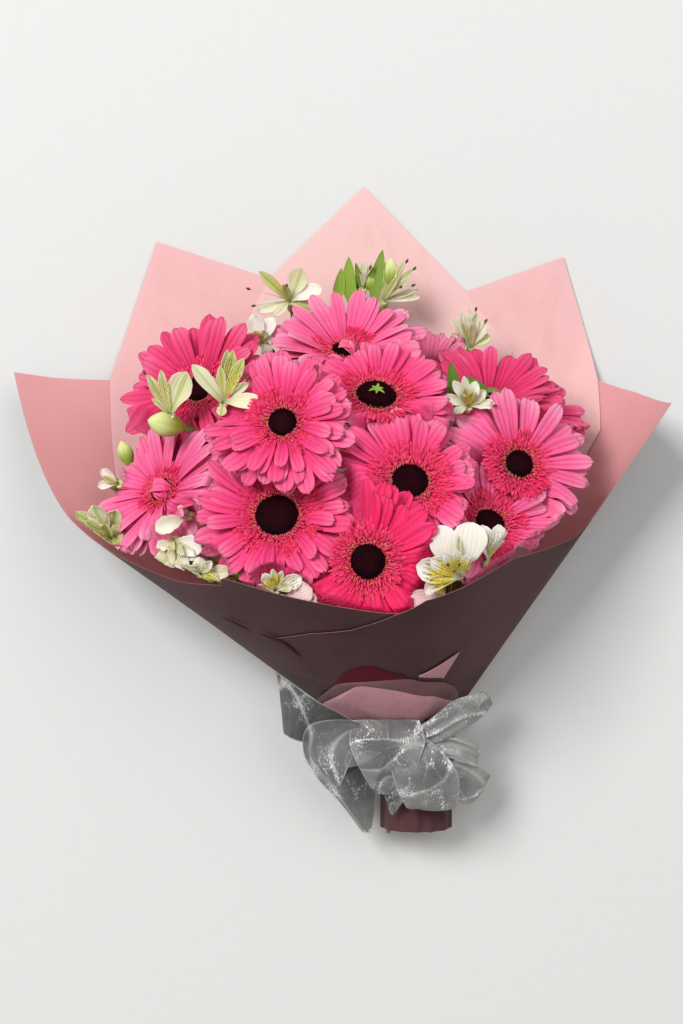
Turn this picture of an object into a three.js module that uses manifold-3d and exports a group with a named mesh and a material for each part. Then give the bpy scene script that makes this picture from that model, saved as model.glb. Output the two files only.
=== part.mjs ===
// A wrapped bouquet: thirteen pink gerberas and seven sprays of white alstroemeria in five sheets
// of pink florist's paper, tied with an organza bow. It lies on its back, stems towards -Y.
// Millimetres, +Z up, origin at the bottom centre of the whole bouquet.
import * as THREE from "three";
import { mergeVertices } from "three/addons/utils/BufferGeometryUtils.js";
import Module from "manifold-3d";

const wasm = await Module();
wasm.setup();

// ---- driving dimensions ----
const gap = 0.45; // left between neighbours, so that no two pieces touch
const paper = {
  apex: [60, -216, 0], // where the straight lines of the wrap meet, behind the tie
  thickness: 0.8,
  layer: 1.3, // from one sheet to the next
  neck: { y: -166, centre: [45, 36], half: [48, 37] }, // the wrap turns from a cone into a handle here
  handle: { centre: [60, 30.2], radius: [30, 28], startY: -177, tieY: -196, endY: -256 },
};
const gerbera = {
  petals: 11, // in each of two layers
  petalThickness: 0.9,
  petalWidth: 16.5,
  discHeight: 3.4,
  collar: 3.4, // from the edge of the eye to the roots of the petals
  coreDepth: 5,
  stemRadius: 3,
  calyxRadius: 9,
  calyxDepth: 12,
};
const alstroemeria = {
  tepalThickness: 0.7,
  tepalLength: 33,
  funnelLength: 13,
  funnelRadius: 5.5,
  stemRadius: 2.1,
  pedicelRadius: 1.2,
};
const ribbon = { thickness: 0.8, bandWidth: 38 };

const colours = {
  petals: [0xea3f7c, 0.6],
  eye: [0x25070f, 0.8],
  stem: [0x7d9a45, 0.6],
  whitePetals: [0xf1eddc, 0.6],
  leaves: [0x86a83c, 0.55],
  paper: [0xe9a9ab, 0.7],
  ribbon: [0xb9bcbe, 0.35],
};

const deg = Math.PI / 180;
const vec = (p) => new THREE.Vector3(...p);
const mix = (a, b, t) => a + (b - a) * t;
const smooth = (t) => {
  const u = Math.min(1, Math.max(0, t));
  return u * u * (3 - 2 * u);
};

// A seeded source of numbers from -1 to 1, so that each build is the same.
function dice(seed) {
  let state = seed;
  return () => {
    state = (state + 0x6d2b79f5) | 0;
    let t = Math.imul(state ^ (state >>> 15), 1 | state);
    t = (t + Math.imul(t ^ (t >>> 7), 61 | t)) ^ t;
    return (((t ^ (t >>> 14)) >>> 0) / 4294967296) * 2 - 1;
  };
}

// ---- solids ----
function solidOf(geometry) {
  const bare = geometry.clone();
  bare.deleteAttribute("normal");
  bare.deleteAttribute("uv");
  const merged = mergeVertices(bare, 1e-4);
  return new wasm.Manifold(
    new wasm.Mesh({
      numProp: 3,
      vertProperties: new Float32Array(merged.attributes.position.array),
      triVerts: new Uint32Array(merged.index.array),
    }),
  );
}

function geometryOf(solid) {
  const mesh = solid.getMesh();
  const geometry = new THREE.BufferGeometry();
  geometry.setAttribute("position", new THREE.BufferAttribute(new Float32Array(mesh.vertProperties), 3));
  geometry.setIndex(new THREE.BufferAttribute(new Uint32Array(mesh.triVerts), 1));
  geometry.computeVertexNormals();
  return geometry;
}

const union = (solids) => solids.reduce((sum, next) => sum.add(next)).asOriginal().simplify(0.03);

// The largest body of a solid; loose scraps are dropped.
function largest(solid) {
  const bodies = solid.decompose();
  bodies.sort((a, b) => b.volume() - a.volume());
  return bodies[0];
}

// A closed skin between two grids of points, rows[i][j] = { top, bottom }.
function skinGeometry(rows) {
  const across = rows[0].length;
  const points = [];
  rows.forEach((row) => row.forEach((p) => points.push(...p.top.toArray(), ...p.bottom.toArray())));
  const at = (i, j, under) => 2 * (i * across + j) + under;
  const faces = [];
  const quad = (a, b, c, d) => faces.push(a, b, c, a, c, d);
  for (let i = 0; i + 1 < rows.length; i++) {
    for (let j = 0; j + 1 < across; j++) {
      quad(at(i, j, 0), at(i + 1, j, 0), at(i + 1, j + 1, 0), at(i, j + 1, 0));
      faces.push(at(i, j, 1), at(i + 1, j + 1, 1), at(i + 1, j, 1));
      faces.push(at(i, j, 1), at(i, j + 1, 1), at(i + 1, j + 1, 1));
    }
    quad(at(i, 0, 0), at(i, 0, 1), at(i + 1, 0, 1), at(i + 1, 0, 0));
    quad(at(i, across - 1, 0), at(i + 1, across - 1, 0), at(i + 1, across - 1, 1), at(i, across - 1, 1));
  }
  const last = rows.length - 1;
  for (let j = 0; j + 1 < across; j++) {
    quad(at(0, j, 0), at(0, j + 1, 0), at(0, j + 1, 1), at(0, j, 1));
    quad(at(last, j, 0), at(last, j, 1), at(last, j + 1, 1), at(last, j + 1, 0));
  }
  const geometry = new THREE.BufferGeometry();
  geometry.setAttribute("position", new THREE.Float32BufferAttribute(points, 3));
  geometry.setIndex(faces);
  return geometry;
}

// A blade that leaves root along out, rising at `lift` degrees over the plane across up, and
// turns by `curl` degrees on its way. widths holds [share of the length, width] pairs.
function bladeRows({ root, out, up, length, lift, curl, roll, widths, thickness }) {
  const side = new THREE.Vector3().crossVectors(up, out).normalize();
  const at = root.clone();
  let reached = 0;
  return widths.map(([share, width]) => {
    const middle = (reached + share) / 2;
    const angle = (lift + curl * middle) * deg;
    const step = (share - reached) * length;
    at.addScaledVector(out, Math.cos(angle) * step).addScaledVector(up, Math.sin(angle) * step);
    reached = share;
    const here = (lift + curl * share) * deg;
    const face = up.clone().multiplyScalar(Math.cos(here)).addScaledVector(out, -Math.sin(here));
    const turn = roll * deg * share;
    const across = side.clone().multiplyScalar(Math.cos(turn)).addScaledVector(face, Math.sin(turn));
    const normal = face.clone().multiplyScalar(Math.cos(turn)).addScaledVector(side, -Math.sin(turn));
    return [-0.5, 0.5].map((half) => {
      const top = at.clone().addScaledVector(across, half * width);
      return { top, bottom: top.clone().addScaledVector(normal, -thickness) };
    });
  });
}

// The solid between rows, whichever way round they run.
function skinSolid(rows) {
  const solid = solidOf(skinGeometry(rows));
  return solid.volume() > 0 ? solid : solidOf(skinGeometry(rows.map((row) => row.slice().reverse())));
}

// A round stem through points, with few sides.
function tubeSolid(points, radius, sides, steps) {
  const section = new THREE.Shape();
  for (let k = 0; k < sides; k++) {
    const a = (k / sides) * 2 * Math.PI;
    if (k) section.lineTo(radius * Math.cos(a), radius * Math.sin(a));
    else section.moveTo(radius, 0);
  }
  section.closePath();
  const extrudePath = new THREE.CatmullRomCurve3(points, false, "centripetal");
  return solidOf(new THREE.ExtrudeGeometry(section, { steps, extrudePath, bevelEnabled: false }));
}

// A tube whose middle is pushed aside until it is clear of what is placed.
function clearTube(points, radius, sides, steps, owner) {
  const along = points.at(-1).clone().sub(points[0]).normalize();
  const side = new THREE.Vector3().crossVectors(along, vec([0, 0, 1])).normalize();
  const over = new THREE.Vector3().crossVectors(side, along);
  for (let push = 0; push <= 30; push += 3)
    for (let k = 0; k < (push ? 12 : 1); k++) {
      const a = (k / 6) * Math.PI;
      const shift = side.clone().multiplyScalar(push * Math.cos(a)).addScaledVector(over, push * Math.sin(a));
      const pushed = points.map((p, i) => {
        const t = i / (points.length - 1);
        return t > 0.35 && t < 1 ? p.clone().addScaledVector(shift, Math.sin(Math.PI * t)) : p;
      });
      const solid = tubeSolid(pushed, radius, sides, steps);
      if (isClear(solid, owner)) return solid;
    }
  return null;
}

// A turned solid about the axis from base along up; profile holds [radius, height] pairs.
function turnedSolid(profile, sides, base, up) {
  const geometry = new THREE.LatheGeometry(
    profile.map(([r, h]) => new THREE.Vector2(r, h)),
    sides,
  );
  const turn = new THREE.Quaternion().setFromUnitVectors(new THREE.Vector3(0, 1, 0), up.clone().normalize());
  geometry.applyQuaternion(turn);
  geometry.translate(base.x, base.y, base.z);
  return solidOf(geometry);
}

// ---- keeping pieces clear of each other ----
const placed = []; // { owner, solid, box } of everything that later pieces keep clear of

function remember(owner, solid) {
  placed.push({ owner, solid, box: solid.boundingBox() });
}

function isClear(solid, owner) {
  const box = solid.boundingBox();
  return placed.every((other) => {
    if (other.owner === owner) return true;
    for (let k = 0; k < 3; k++)
      if (box.min[k] > other.box.max[k] + gap || box.max[k] < other.box.min[k] - gap) return true;
    return solid.minGap(other.solid, gap) >= gap;
  });
}

// The rows of a blade that is bent up or down, and then shortened, until it is clear of the rest.
const bends = [0, -5, 5, -10, 10, -16, 16, -23, -31, -40, -50, -62, -74];
function clearBlade(blade, owner) {
  for (const shorter of [1, 0.84, 0.66, 0.46])
    for (const bend of bends) {
      const rows = bladeRows({ ...blade, lift: blade.lift + bend, length: blade.length * shorter });
      const solid = skinSolid(rows);
      if (isClear(solid, owner)) return { rows, solid };
    }
  return null;
}

// A turned body in the frame of a flower, some facets of its side drawn out. rings holds
// [radius, height] from the bottom up. drawn(band, facet) gives the rows of four corners that a
// facet is drawn out to, a single corner for a point, or nothing.
function buddedSolid({ middle, up, side, along }, rings, sides, drawn) {
  const points = [], faces = [];
  const add = (p) => points.push(...p.toArray()) / 3 - 1;
  const onAxis = (height) => middle.clone().addScaledVector(up, height);
  const corners = rings.map(([r, h]) => Array.from({ length: sides }, (_, j) => {
    const a = ((j - 0.5) / sides) * 2 * Math.PI;
    return add(onAxis(h).addScaledVector(side, r * Math.cos(a)).addScaledVector(along, r * Math.sin(a)));
  }));
  const foot = add(onAxis(rings[0][1])), head = add(onAxis(rings.at(-1)[1]));
  for (let j = 0; j < sides; j++) {
    const next = (j + 1) % sides;
    faces.push(corners[0][next], corners[0][j], foot, corners.at(-1)[j], corners.at(-1)[next], head);
    for (let band = 0; band + 1 < rings.length; band++) {
      let last = [corners[band][j], corners[band][next], corners[band + 1][next], corners[band + 1][j]];
      for (const row of drawn(band, j) ?? []) {
        const here = row.map(add);
        for (let e = 0; e < 4; e++) {
          const f = (e + 1) % 4;
          faces.push(last[e], last[f], here[f % here.length]);
          if (here.length > 1) faces.push(last[e], here[f], here[e]);
        }
        last = here;
      }
      if (last.length > 1) faces.push(last[0], last[1], last[2], last[0], last[2], last[3]);
    }
  }
  const geometry = new THREE.BufferGeometry();
  geometry.setAttribute("position", new THREE.Float32BufferAttribute(points, 3));
  geometry.setIndex(faces);
  return solidOf(geometry);
}

// ---- the wrap: sheets on a cone whose cross-section is flat below and round above ----
// Azimuth and elevation of its straight lines, in degrees, from the back round by the left.
const directions = [
  [-5, 0], [-20, 0], [-33, 0], [-43, 3], [-50, 11], [-52.5, 21], [-48, 33], [-37, 45], [-22, 53],
  [-6, 56], [8, 52], [20, 42], [29, 30], [33, 18.5], [30, 7.5], [22, 0], [10, 0],
];
const finePoints = 40; // to each of them

// The unit directions round the cone, with the angle of paper passed since the front centre.
function coneTurn() {
  const corners = directions.map(([azimuth, elevation]) => {
    const a = azimuth * deg, e = elevation * deg;
    return new THREE.Vector3(Math.sin(a) * Math.cos(e), Math.cos(a) * Math.cos(e), Math.sin(e));
  });
  const count = corners.length;
  const around = [];
  corners.forEach((p1, i) => {
    const p0 = corners[(i + count - 1) % count], p2 = corners[(i + 1) % count];
    const p3 = corners[(i + 2) % count];
    const bend = p0.clone().multiplyScalar(2).addScaledVector(p1, -5).addScaledVector(p2, 4).sub(p3);
    for (let k = 0; k < finePoints; k++) {
      const t = k / finePoints;
      const q = p1.clone().multiplyScalar(2);
      q.addScaledVector(p2.clone().sub(p0), t);
      q.addScaledVector(bend, t * t);
      q.addScaledVector(p1.clone().sub(p2).multiplyScalar(3).sub(p0).add(p3), t * t * t);
      q.z = Math.max(0, q.z);
      around.push(q.normalize());
    }
  });
  const front = around.reduce((best, d, i) => (d.z > around[best].z ? i : best), 0);
  const ordered = around.map((_, i) => around[(front - i + around.length) % around.length]);
  let passed = 0;
  return ordered.map((direction, i) => {
    if (i) passed += ordered[i - 1].angleTo(direction) / deg;
    return { direction, passed };
  });
}
const cone = coneTurn();
const fullTurn = cone.at(-1).passed + cone.at(-1).direction.angleTo(cone[0].direction) / deg;

// The unit direction at an angle of paper: 0 at the front centre, growing round by the left.
function lineAt(angle) {
  const wrapped = ((angle % fullTurn) + fullTurn) % fullTurn;
  let i = cone.findIndex((c) => c.passed > wrapped);
  if (i < 0) i = cone.length;
  const a = cone[i - 1], b = i < cone.length ? cone[i] : { direction: cone[0].direction, passed: fullTurn };
  const t = (wrapped - a.passed) / (b.passed - a.passed);
  return a.direction.clone().lerp(b.direction, t).normalize();
}

// A point of the wrap. reach is the distance from the apex; under the neck it counts down from 0
// to -1 along the handle. inward is the distance inside the outermost skin.
const neckReach = (angle) => (paper.neck.y - paper.apex[1]) / lineAt(angle).y;
function wrapPoint(angle, reach, inward) {
  const line = lineAt(angle);
  const ahead = lineAt(angle + 1).sub(lineAt(angle - 1));
  const inside = new THREE.Vector3().crossVectors(ahead, line).normalize();
  const apex = vec(paper.apex);
  if (reach > 0) return apex.clone().addScaledVector(line, reach).addScaledVector(inside, inward);
  const neck = apex.clone().addScaledVector(line, neckReach(angle));
  const { centre, radius, startY, endY } = paper.handle;
  const round = Math.atan2((neck.x - paper.neck.centre[0]) / paper.neck.half[0],
    (neck.z - paper.neck.centre[1]) / paper.neck.half[1]);
  const y = mix(startY, endY, -reach);
  return vec([centre[0] + (radius[0] - inward) * Math.sin(round), y,
    centre[1] + (radius[1] - inward) * Math.cos(round)]);
}

// Corner points [angle of paper, reach] of each sheet's outer edge; the edges between are straight
// on the flat sheet. depth gives the layer, from the outermost.
const sheets = [
  { name: "paper_left_wrap", depth: (a) => 1.15 * (1 - smooth((a - 38) / 24)), handle: true,
    edge: [[-16, 246], [1, 253], [19, 271], [27, 292], [29, 283], [38, 288], [53, 360], [68, 464],
      [76, 411], [101, 375]] },
  { name: "paper_right_wrap", depth: () => 0, handle: true,
    edge: [[106, 375], [139.5, 358], [146.5, 362], [157.5, 374], [161, 268], [165, 252], [184, 257],
      [203, 264], [208.44, 253], [217, 229], [226.44, 220], [236.44, 211]] },
  { name: "paper_back_left", depth: () => 1,
    edge: [[66, 338], [76, 411], [88, 489], [97.5, 427], [102.5, 398]] },
  { name: "paper_back_right", depth: () => 1,
    edge: [[105, 372], [120, 401], [130, 445], [139.5, 358], [144, 322]] },
  { name: "paper_back", depth: () => 2, edge: [[90, 378], [97.5, 427], [109, 487], [120, 401], [127, 358]] },
];

// Where the outer edge crosses the line at an angle.
function edgeReach(edge, angle) {
  let i = edge.findIndex(([a]) => a >= angle - 1e-9);
  if (i < 1) i = 1;
  const flat = ([a, r]) => [r * Math.cos(a * deg), r * Math.sin(a * deg)];
  const [x1, y1] = flat(edge[i - 1]), [x2, y2] = flat(edge[i]);
  const c = Math.cos(angle * deg), s = Math.sin(angle * deg);
  return (x1 * y2 - x2 * y1) / (c * (y2 - y1) - s * (x2 - x1));
}

// The lines that all sheets share: their corners, and more where these lie far apart.
function sharedLines() {
  const widest = 9; // degrees of paper between two lines
  const wrapped = sheets.flatMap(({ edge }) => edge.map(([a]) => ((a % fullTurn) + fullTurn) % fullTurn));
  const corners = wrapped.sort((a, b) => a - b).filter((a, i, all) => !i || a - all[i - 1] > 0.1);
  return corners.flatMap((a, i) => {
    const next = corners[i + 1] ?? corners[0] + fullTurn;
    const parts = Math.ceil((next - a) / widest);
    return Array.from({ length: parts }, (_, k) => mix(a, next, k / parts));
  });
}
const lines = sharedLines();

function sheetSolid({ edge, depth, handle }) {
  const first = edge[0][0], last = edge.at(-1)[0];
  const angles = [-1, 0, 1].flatMap((turn) => lines.map((a) => a + turn * fullTurn))
    .filter((a) => a > first - 0.1 && a < last + 0.1);
  return skinSolid(angles.map((angle) => {
    const low = depth(angle) * paper.layer;
    const edgeAngle = Math.min(last, Math.max(first, angle));
    const reaches = [...(handle ? [-1, 0] : []), neckReach(angle) + 1, edgeReach(edge, edgeAngle)];
    return reaches.map((reach) => ({
      top: wrapPoint(angle, reach, low + paper.thickness),
      bottom: wrapPoint(angle, reach, low),
    }));
  }));
}

// ---- the flowers ----
// Each gerbera: the centre of its face, where it faces, and its radius. Uppermost first.
const gerberas = [
  { name: "a", centre: [-43, 65, 182], facing: [-0.12, 0.3, 1], radius: 56, disc: 10.5, lift: 10 },
  { name: "b", centre: [-47, -3, 178], facing: [-0.06, 0.32, 0.95], radius: 62, disc: 16, lift: 8 },
  { name: "c", centre: [19, -35, 203], facing: [0, -0.02, 1], radius: 53, disc: 13, lift: 10 },
  { name: "d", centre: [50, 22, 182], facing: [0.08, 0.42, 0.9], radius: 58, disc: 13.5, lift: 10 },
  { name: "g", centre: [109, -9, 153], facing: [0.28, 0.46, 0.84], radius: 57, disc: 11, lift: 6 },
  { name: "f", centre: [133, 36, 142], facing: [0.24, 0.3, 0.92], radius: 59, disc: 10.5, lift: 6 },
  { name: "e", centre: [26, 86, 148], facing: [0.08, 0.72, 0.68], radius: 56, disc: 15.5, lift: 18 },
  { name: "h", centre: [-136, 16, 127], facing: [-0.6, 0.45, 0.66], radius: 53, disc: 9, lift: 14 },
  { name: "i", centre: [-109, 94, 112], facing: [-0.38, 0.36, 0.86], radius: 61, disc: 10.5, lift: 12 },
  { name: "j", centre: [3, 124, 105], facing: [-0.05, 0.8, 0.6], radius: 57, disc: 10, lift: 24 },
  { name: "k", centre: [119, 98, 94], facing: [0.2, 0.76, 0.6], radius: 53, disc: 10, lift: 26 },
  { name: "m", centre: [154, 84, 80], facing: [0.62, 0.68, 0.38], radius: 50, disc: 10, lift: 22 },
  { name: "l", centre: [68, 122, 72], facing: [0.15, 0.92, 0.36], radius: 49, disc: 10, lift: 26 },
];

// Each spray of alstroemeria: where its stem forks, its flowers (mouth, facing, size), its buds
// (tip, length) and its leaves (root, direction, length).
const sprays = [
  { name: "1", fork: [-42, 92, 46],
    flowers: [{ at: [-43, 177, 60], facing: [-0.05, 0.5, 0.85], size: 1 },
      { at: [-63, 146, 76], facing: [-0.4, 0.3, 0.85], size: 0.9 }],
    buds: [], leaves: [] },
  { name: "2", fork: [32, 128, 36],
    flowers: [{ at: [51, 186, 44], facing: [0.4, 0.6, 0.6], size: 0.85 }],
    buds: [[20, 194, 46, 24], [38, 204, 50, 27], [103, 158, 50, 22], [95, 150, 56, 20]],
    leaves: [[[8, 164, 40], [-0.2, 1, 0.22], 42], [[32, 164, 44], [0.1, 1, 0.3], 44]] },
  { name: "3", fork: [88, 56, 92],
    flowers: [{ at: [95, 86, 131], facing: [0.05, 0.3, 1], size: 0.62 }],
    buds: [], leaves: [[[80, 88, 118], [0.02, 0.9, 0.5], 28]] },
  { name: "4", fork: [-98, 60, 108],
    flowers: [{ at: [-124, 84, 148], facing: [-0.15, 0.25, 0.95], size: 0.9 },
      { at: [-88, 95, 154], facing: [0.1, 0.3, 0.95], size: 0.95 }],
    buds: [[-142, 66, 150, 32]], leaves: [] },
  { name: "5", fork: [-148, -16, 72],
    flowers: [{ at: [-180, -8, 104], facing: [-0.45, 0.05, 0.85], size: 0.85 }],
    buds: [[-188, 27, 76, 22], [-171, 50, 76, 20]], leaves: [] },
  { name: "6", fork: [-84, -50, 108],
    flowers: [{ at: [-126, -34, 152], facing: [-0.35, -0.05, 1], size: 0.95 },
      { at: [-98, -46, 163], facing: [-0.1, -0.1, 1], size: 0.9 },
      { at: [-70, -52, 172], facing: [0, -0.15, 1], size: 0.8 },
      { at: [-42, -58, 180], facing: [0.1, -0.1, 1], size: 0.8 }],
    buds: [], leaves: [] },
  { name: "7", fork: [72, -42, 128],
    flowers: [{ at: [78, -44, 198], facing: [0.05, -0.05, 1], size: 1.1 },
      { at: [107, -27, 188], facing: [0.4, 0.05, 0.95], size: 0.9 }],
    buds: [], leaves: [] },
];

// Places of the stems across the handle: each starts on the side its flower is on, then they
// push each other apart until none touch.
function handleSlots() {
  const { centre } = paper.handle;
  const all = [
    ...gerberas.map((g) => ({ key: g.name, to: vec(g.centre), radius: gerbera.stemRadius })),
    ...sprays.map((s) => ({ key: s.name, to: vec(s.fork), radius: alstroemeria.stemRadius })),
  ];
  const from = vec([centre[0], paper.handle.tieY, centre[1]]);
  const spread = 17;
  all.forEach((s) => {
    const way = s.to.clone().sub(from).normalize();
    s.x = way.x * spread;
    s.z = (way.z - 0.45) * spread;
  });
  for (let round = 0; round < 400; round++)
    all.forEach((a, i) =>
      all.slice(i + 1).forEach((b) => {
        const apart = Math.hypot(a.x - b.x, a.z - b.z) || 1e-3;
        const short = a.radius + b.radius + 2.05 - apart;
        if (short <= 0) return;
        const dx = ((a.x - b.x) / apart) * short * 0.5, dz = ((a.z - b.z) / apart) * short * 0.5;
        a.x += dx; a.z += dz; b.x -= dx; b.z -= dz;
      }),
    );
  return new Map(all.map((s) => [s.key, vec([centre[0] + s.x, paper.handle.tieY, centre[1] + s.z])]));
}
const slots = handleSlots();

// The way of a stem: along the handle, through the tie, and out to the flower.
function stemWay(key, foot, arrive, endY) {
  const slot = slots.get(key);
  const waist = slot.clone().add(vec([0, 16, 0]));
  const out = foot.clone().sub(waist);
  const first = waist.clone().addScaledVector(out, 0.2).add(vec([0, 4, 0]));
  const last = foot.clone().addScaledVector(arrive, -0.24 * out.length());
  return [vec([slot.x, endY, slot.z]), slot.clone().add(vec([0, -10, 0])), waist, first,
    first.clone().lerp(last, 0.5), last, foot];
}

const root = new THREE.Group();
root.name = "gerbera_bouquet";

// Adds a solid as a named mesh that stands at place, turned so that its own +Z is up.
function addMesh(name, solid, [color, roughness], place = vec([0, 0, 0]), up = vec([0, 0, 1])) {
  const turn = new THREE.Quaternion().setFromUnitVectors(vec([0, 0, 1]), up.clone().normalize());
  const geometry = geometryOf(solid);
  geometry.translate(-place.x, -place.y, -place.z);
  geometry.applyQuaternion(turn.clone().invert());
  const mesh = new THREE.Mesh(geometry, new THREE.MeshStandardMaterial({ color, roughness, metalness: 0 }));
  mesh.name = name;
  mesh.position.copy(place);
  mesh.quaternion.copy(turn);
  root.add(mesh);
}

function frameOf(facing) {
  const up = vec(facing).normalize();
  const side = new THREE.Vector3().crossVectors(vec([0, 1, 0]), up).normalize();
  const along = new THREE.Vector3().crossVectors(up, side);
  return { up, side, along };
}

// The heart of a gerbera, which petals keep clear of: the eye, and the core and calyx under it.
function gerberaHeart({ centre, facing, disc }) {
  const frame = { ...frameOf(facing), middle: vec(centre) };
  const { collar, coreDepth, discHeight, calyxRadius, calyxDepth, stemRadius } = gerbera;
  const outer = disc + collar;
  const rings = [[outer - 1.2, -coreDepth], [outer - 0.6, -3.8], [outer - 0.3, -2.8], [outer, -0.5],
    [outer - 0.3, 0.5], [disc - 0.5, 1.2]];
  const domeRows = 3;
  const dome = Array.from({ length: domeRows }, (_, k) => {
    const a = ((k + 0.3) / domeRows) * 90 * deg;
    return [disc * Math.cos(a), 1.2 + gap + discHeight * (0.3 + 0.7 * Math.sin(a))];
  });
  const foot = frame.middle.clone().addScaledVector(frame.up, -coreDepth - gap);
  return {
    frame,
    rings,
    core: buddedSolid(frame, rings, 2 * gerbera.petals, () => null),
    eye: buddedSolid(frame, [[disc - 0.5, 1.2 + gap], ...dome], 8, () => null),
    calyx: turnedSolid([[0, -calyxDepth], [stemRadius * 1.2, -calyxDepth], [calyxRadius, -3],
      [calyxRadius * 0.95, 0], [0, 0]], 7, foot, frame.up),
    stemTop: foot.addScaledVector(frame.up, -calyxDepth + 2),
  };
}

// The pink part of a gerbera: a ring of florets and two layers of petals, drawn out of its core.
function gerberaBloom({ name, radius, lift }, { frame, rings }) {
  const { up, side, along, middle } = frame;
  const draw = dice(97 * name.charCodeAt(0));
  const sides = 2 * gerbera.petals;
  const upperBand = 3, lowerBand = 1, floretBand = 4;
  const cornersOf = (row) => [row[0].bottom, row[1].bottom, row[1].top, row[0].top];
  const outOf = (facet) => {
    const angle = (facet / sides) * 2 * Math.PI;
    return side.clone().multiplyScalar(Math.cos(angle)).addScaledVector(along, Math.sin(angle));
  };
  const petals = new Map();
  for (const band of [upperBand, lowerBand]) {
    const upper = band === upperBand;
    for (let facet = upper ? 0 : 1; facet < sides; facet += 2) {
      const out = outOf(facet);
      const [rootRadius, height] = rings[band + 1];
      const petal = clearBlade({
        root: middle.clone().addScaledVector(out, rootRadius).addScaledVector(up, height),
        out, up,
        length: (radius - rootRadius) * (1 + 0.05 * draw()),
        lift: (upper ? lift + 6 : lift - 8) + 4 * draw(),
        curl: (upper ? -24 : -14) + 8 * draw(),
        roll: 10 * draw(),
        widths: [[0, 0.8 * (rootRadius * Math.PI) / gerbera.petals], [0.62, gerbera.petalWidth],
          [1, 0.45 * gerbera.petalWidth]],
        thickness: gerbera.petalThickness,
      }, name + "_core");
      if (!petal) continue;
      remember(name + "_petals", petal.solid);
      petals.set(band * sides + facet, petal.rows.slice(1).map(cornersOf));
    }
  }
  const florets = Array.from({ length: sides }, (_, facet) => {
    const out = outOf(facet);
    const length = 4 + 1.5 * draw();
    const tip = middle.clone().addScaledVector(out, rings[4][0] + 0.5 * length);
    tip.addScaledVector(up, 0.8 + 0.8 * length);
    const foot = tip.clone().addScaledVector(up, -length);
    const floret = turnedSolid([[0, 0], [1.3, 0], [0, length]], 4, foot, up);
    if (!isClear(floret, name + "_core")) return null;
    remember(name + "_florets", floret);
    return [[tip]];
  });
  return buddedSolid(frame, rings, sides,
    (band, facet) => (band === floretBand ? florets[facet] : petals.get(band * sides + facet)));
}

// Where the stem of a gerbera runs, from below the tie to its calyx.
function gerberaStem({ name }, { calyx, stemTop, frame }) {
  const draw = dice(name.charCodeAt(0));
  const way = stemWay(name, stemTop, frame.up, -258 - 5 * draw());
  const stem = clearTube(way, gerbera.stemRadius, 5, 9, name + "_calyx");
  if (!stem) throw new Error("no clear way for gerbera " + name);
  return union([calyx, stem]);
}

// The foot of each flower of a spray: a funnel, with the mouth at `at`.
function flowerFunnel({ at, facing }) {
  const axis = vec(facing).normalize();
  const base = vec(at).addScaledVector(axis, -alstroemeria.funnelLength);
  const { funnelLength, funnelRadius } = alstroemeria;
  return turnedSolid([[0, 0], [2.6, 0], [funnelRadius, funnelLength], [0, funnelLength]], 6, base, axis);
}

// The green part of a spray: stem, flower stalks, buds and leaves, forking at a given point.
function forkedGreens(spray, fork) {
  const { pedicelRadius, stemRadius, funnelLength, tepalThickness } = alstroemeria;
  const owner = spray.name + "_greens";
  const up = fork.clone().sub(slots.get(spray.name)).normalize();
  const parts = [clearTube(stemWay(spray.name, fork, up, -252), stemRadius, 4, 7, owner)];
  const stalk = (top, axis) => {
    const low = fork.clone().addScaledVector(up, -3), high = top.clone().addScaledVector(axis, -8);
    return clearTube([low, fork.clone().addScaledVector(up, 5), fork.clone().lerp(high, 0.55), high, top],
      pedicelRadius, 3, 4, owner);
  };
  const flowerStalks = spray.flowers.map(({ at, facing }) => {
    const axis = vec(facing).normalize();
    return stalk(vec(at).addScaledVector(axis, -funnelLength - 1.6 * gap), axis);
  });
  parts.push(...flowerStalks);
  if (parts.some((part) => !part)) return null;
  spray.buds.forEach(([x, y, z, length]) => {
    const tip = vec([x, y, z]);
    const axis = tip.clone().sub(fork).normalize();
    const base = tip.clone().addScaledVector(axis, -length);
    parts.push(stalk(base.clone().addScaledVector(axis, 2), axis));
    parts.push(turnedSolid([[0, 0], [0.15 * length, 0.15 * length], [0.22 * length, 0.5 * length],
      [0.1 * length, 0.85 * length], [0, length]], 5, base, axis));
  });
  spray.leaves.forEach(([at, way, length]) => {
    const out = vec(way).normalize(), foot = vec(at);
    const face = new THREE.Vector3().crossVectors(vec([1, 0, 0]), out).normalize();
    parts.push(stalk(foot.clone().addScaledVector(out, 2.5), out));
    parts.push(clearBlade({ root: foot, out, up: face, length, lift: 0, curl: 8, roll: 0,
      widths: [[0, 3], [0.4, 12], [0.8, 8], [1, 1]], thickness: tepalThickness }, owner)?.solid);
  });
  return parts.every((part) => part && isClear(part, owner)) ? largest(union(parts)) : null;
}

// The fork is moved, by as little as will do, to where stem and stalks are clear of the rest.
function sprayGreens(spray) {
  for (const far of [0, 6, 12, 18, 24, 30])
    for (let k = 0; k < (far ? 26 : 1); k++) {
      const step = far ? vec([(k + (k > 12)) % 3, Math.floor((k + (k > 12)) / 3) % 3,
        Math.floor((k + (k > 12)) / 9)]).subScalar(1).setLength(far) : vec([0, 0, 0]);
      const greens = forkedGreens(spray, vec(spray.fork).add(step));
      if (greens) return greens;
    }
  throw new Error("no clear way for spray " + spray.name);
}

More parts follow.
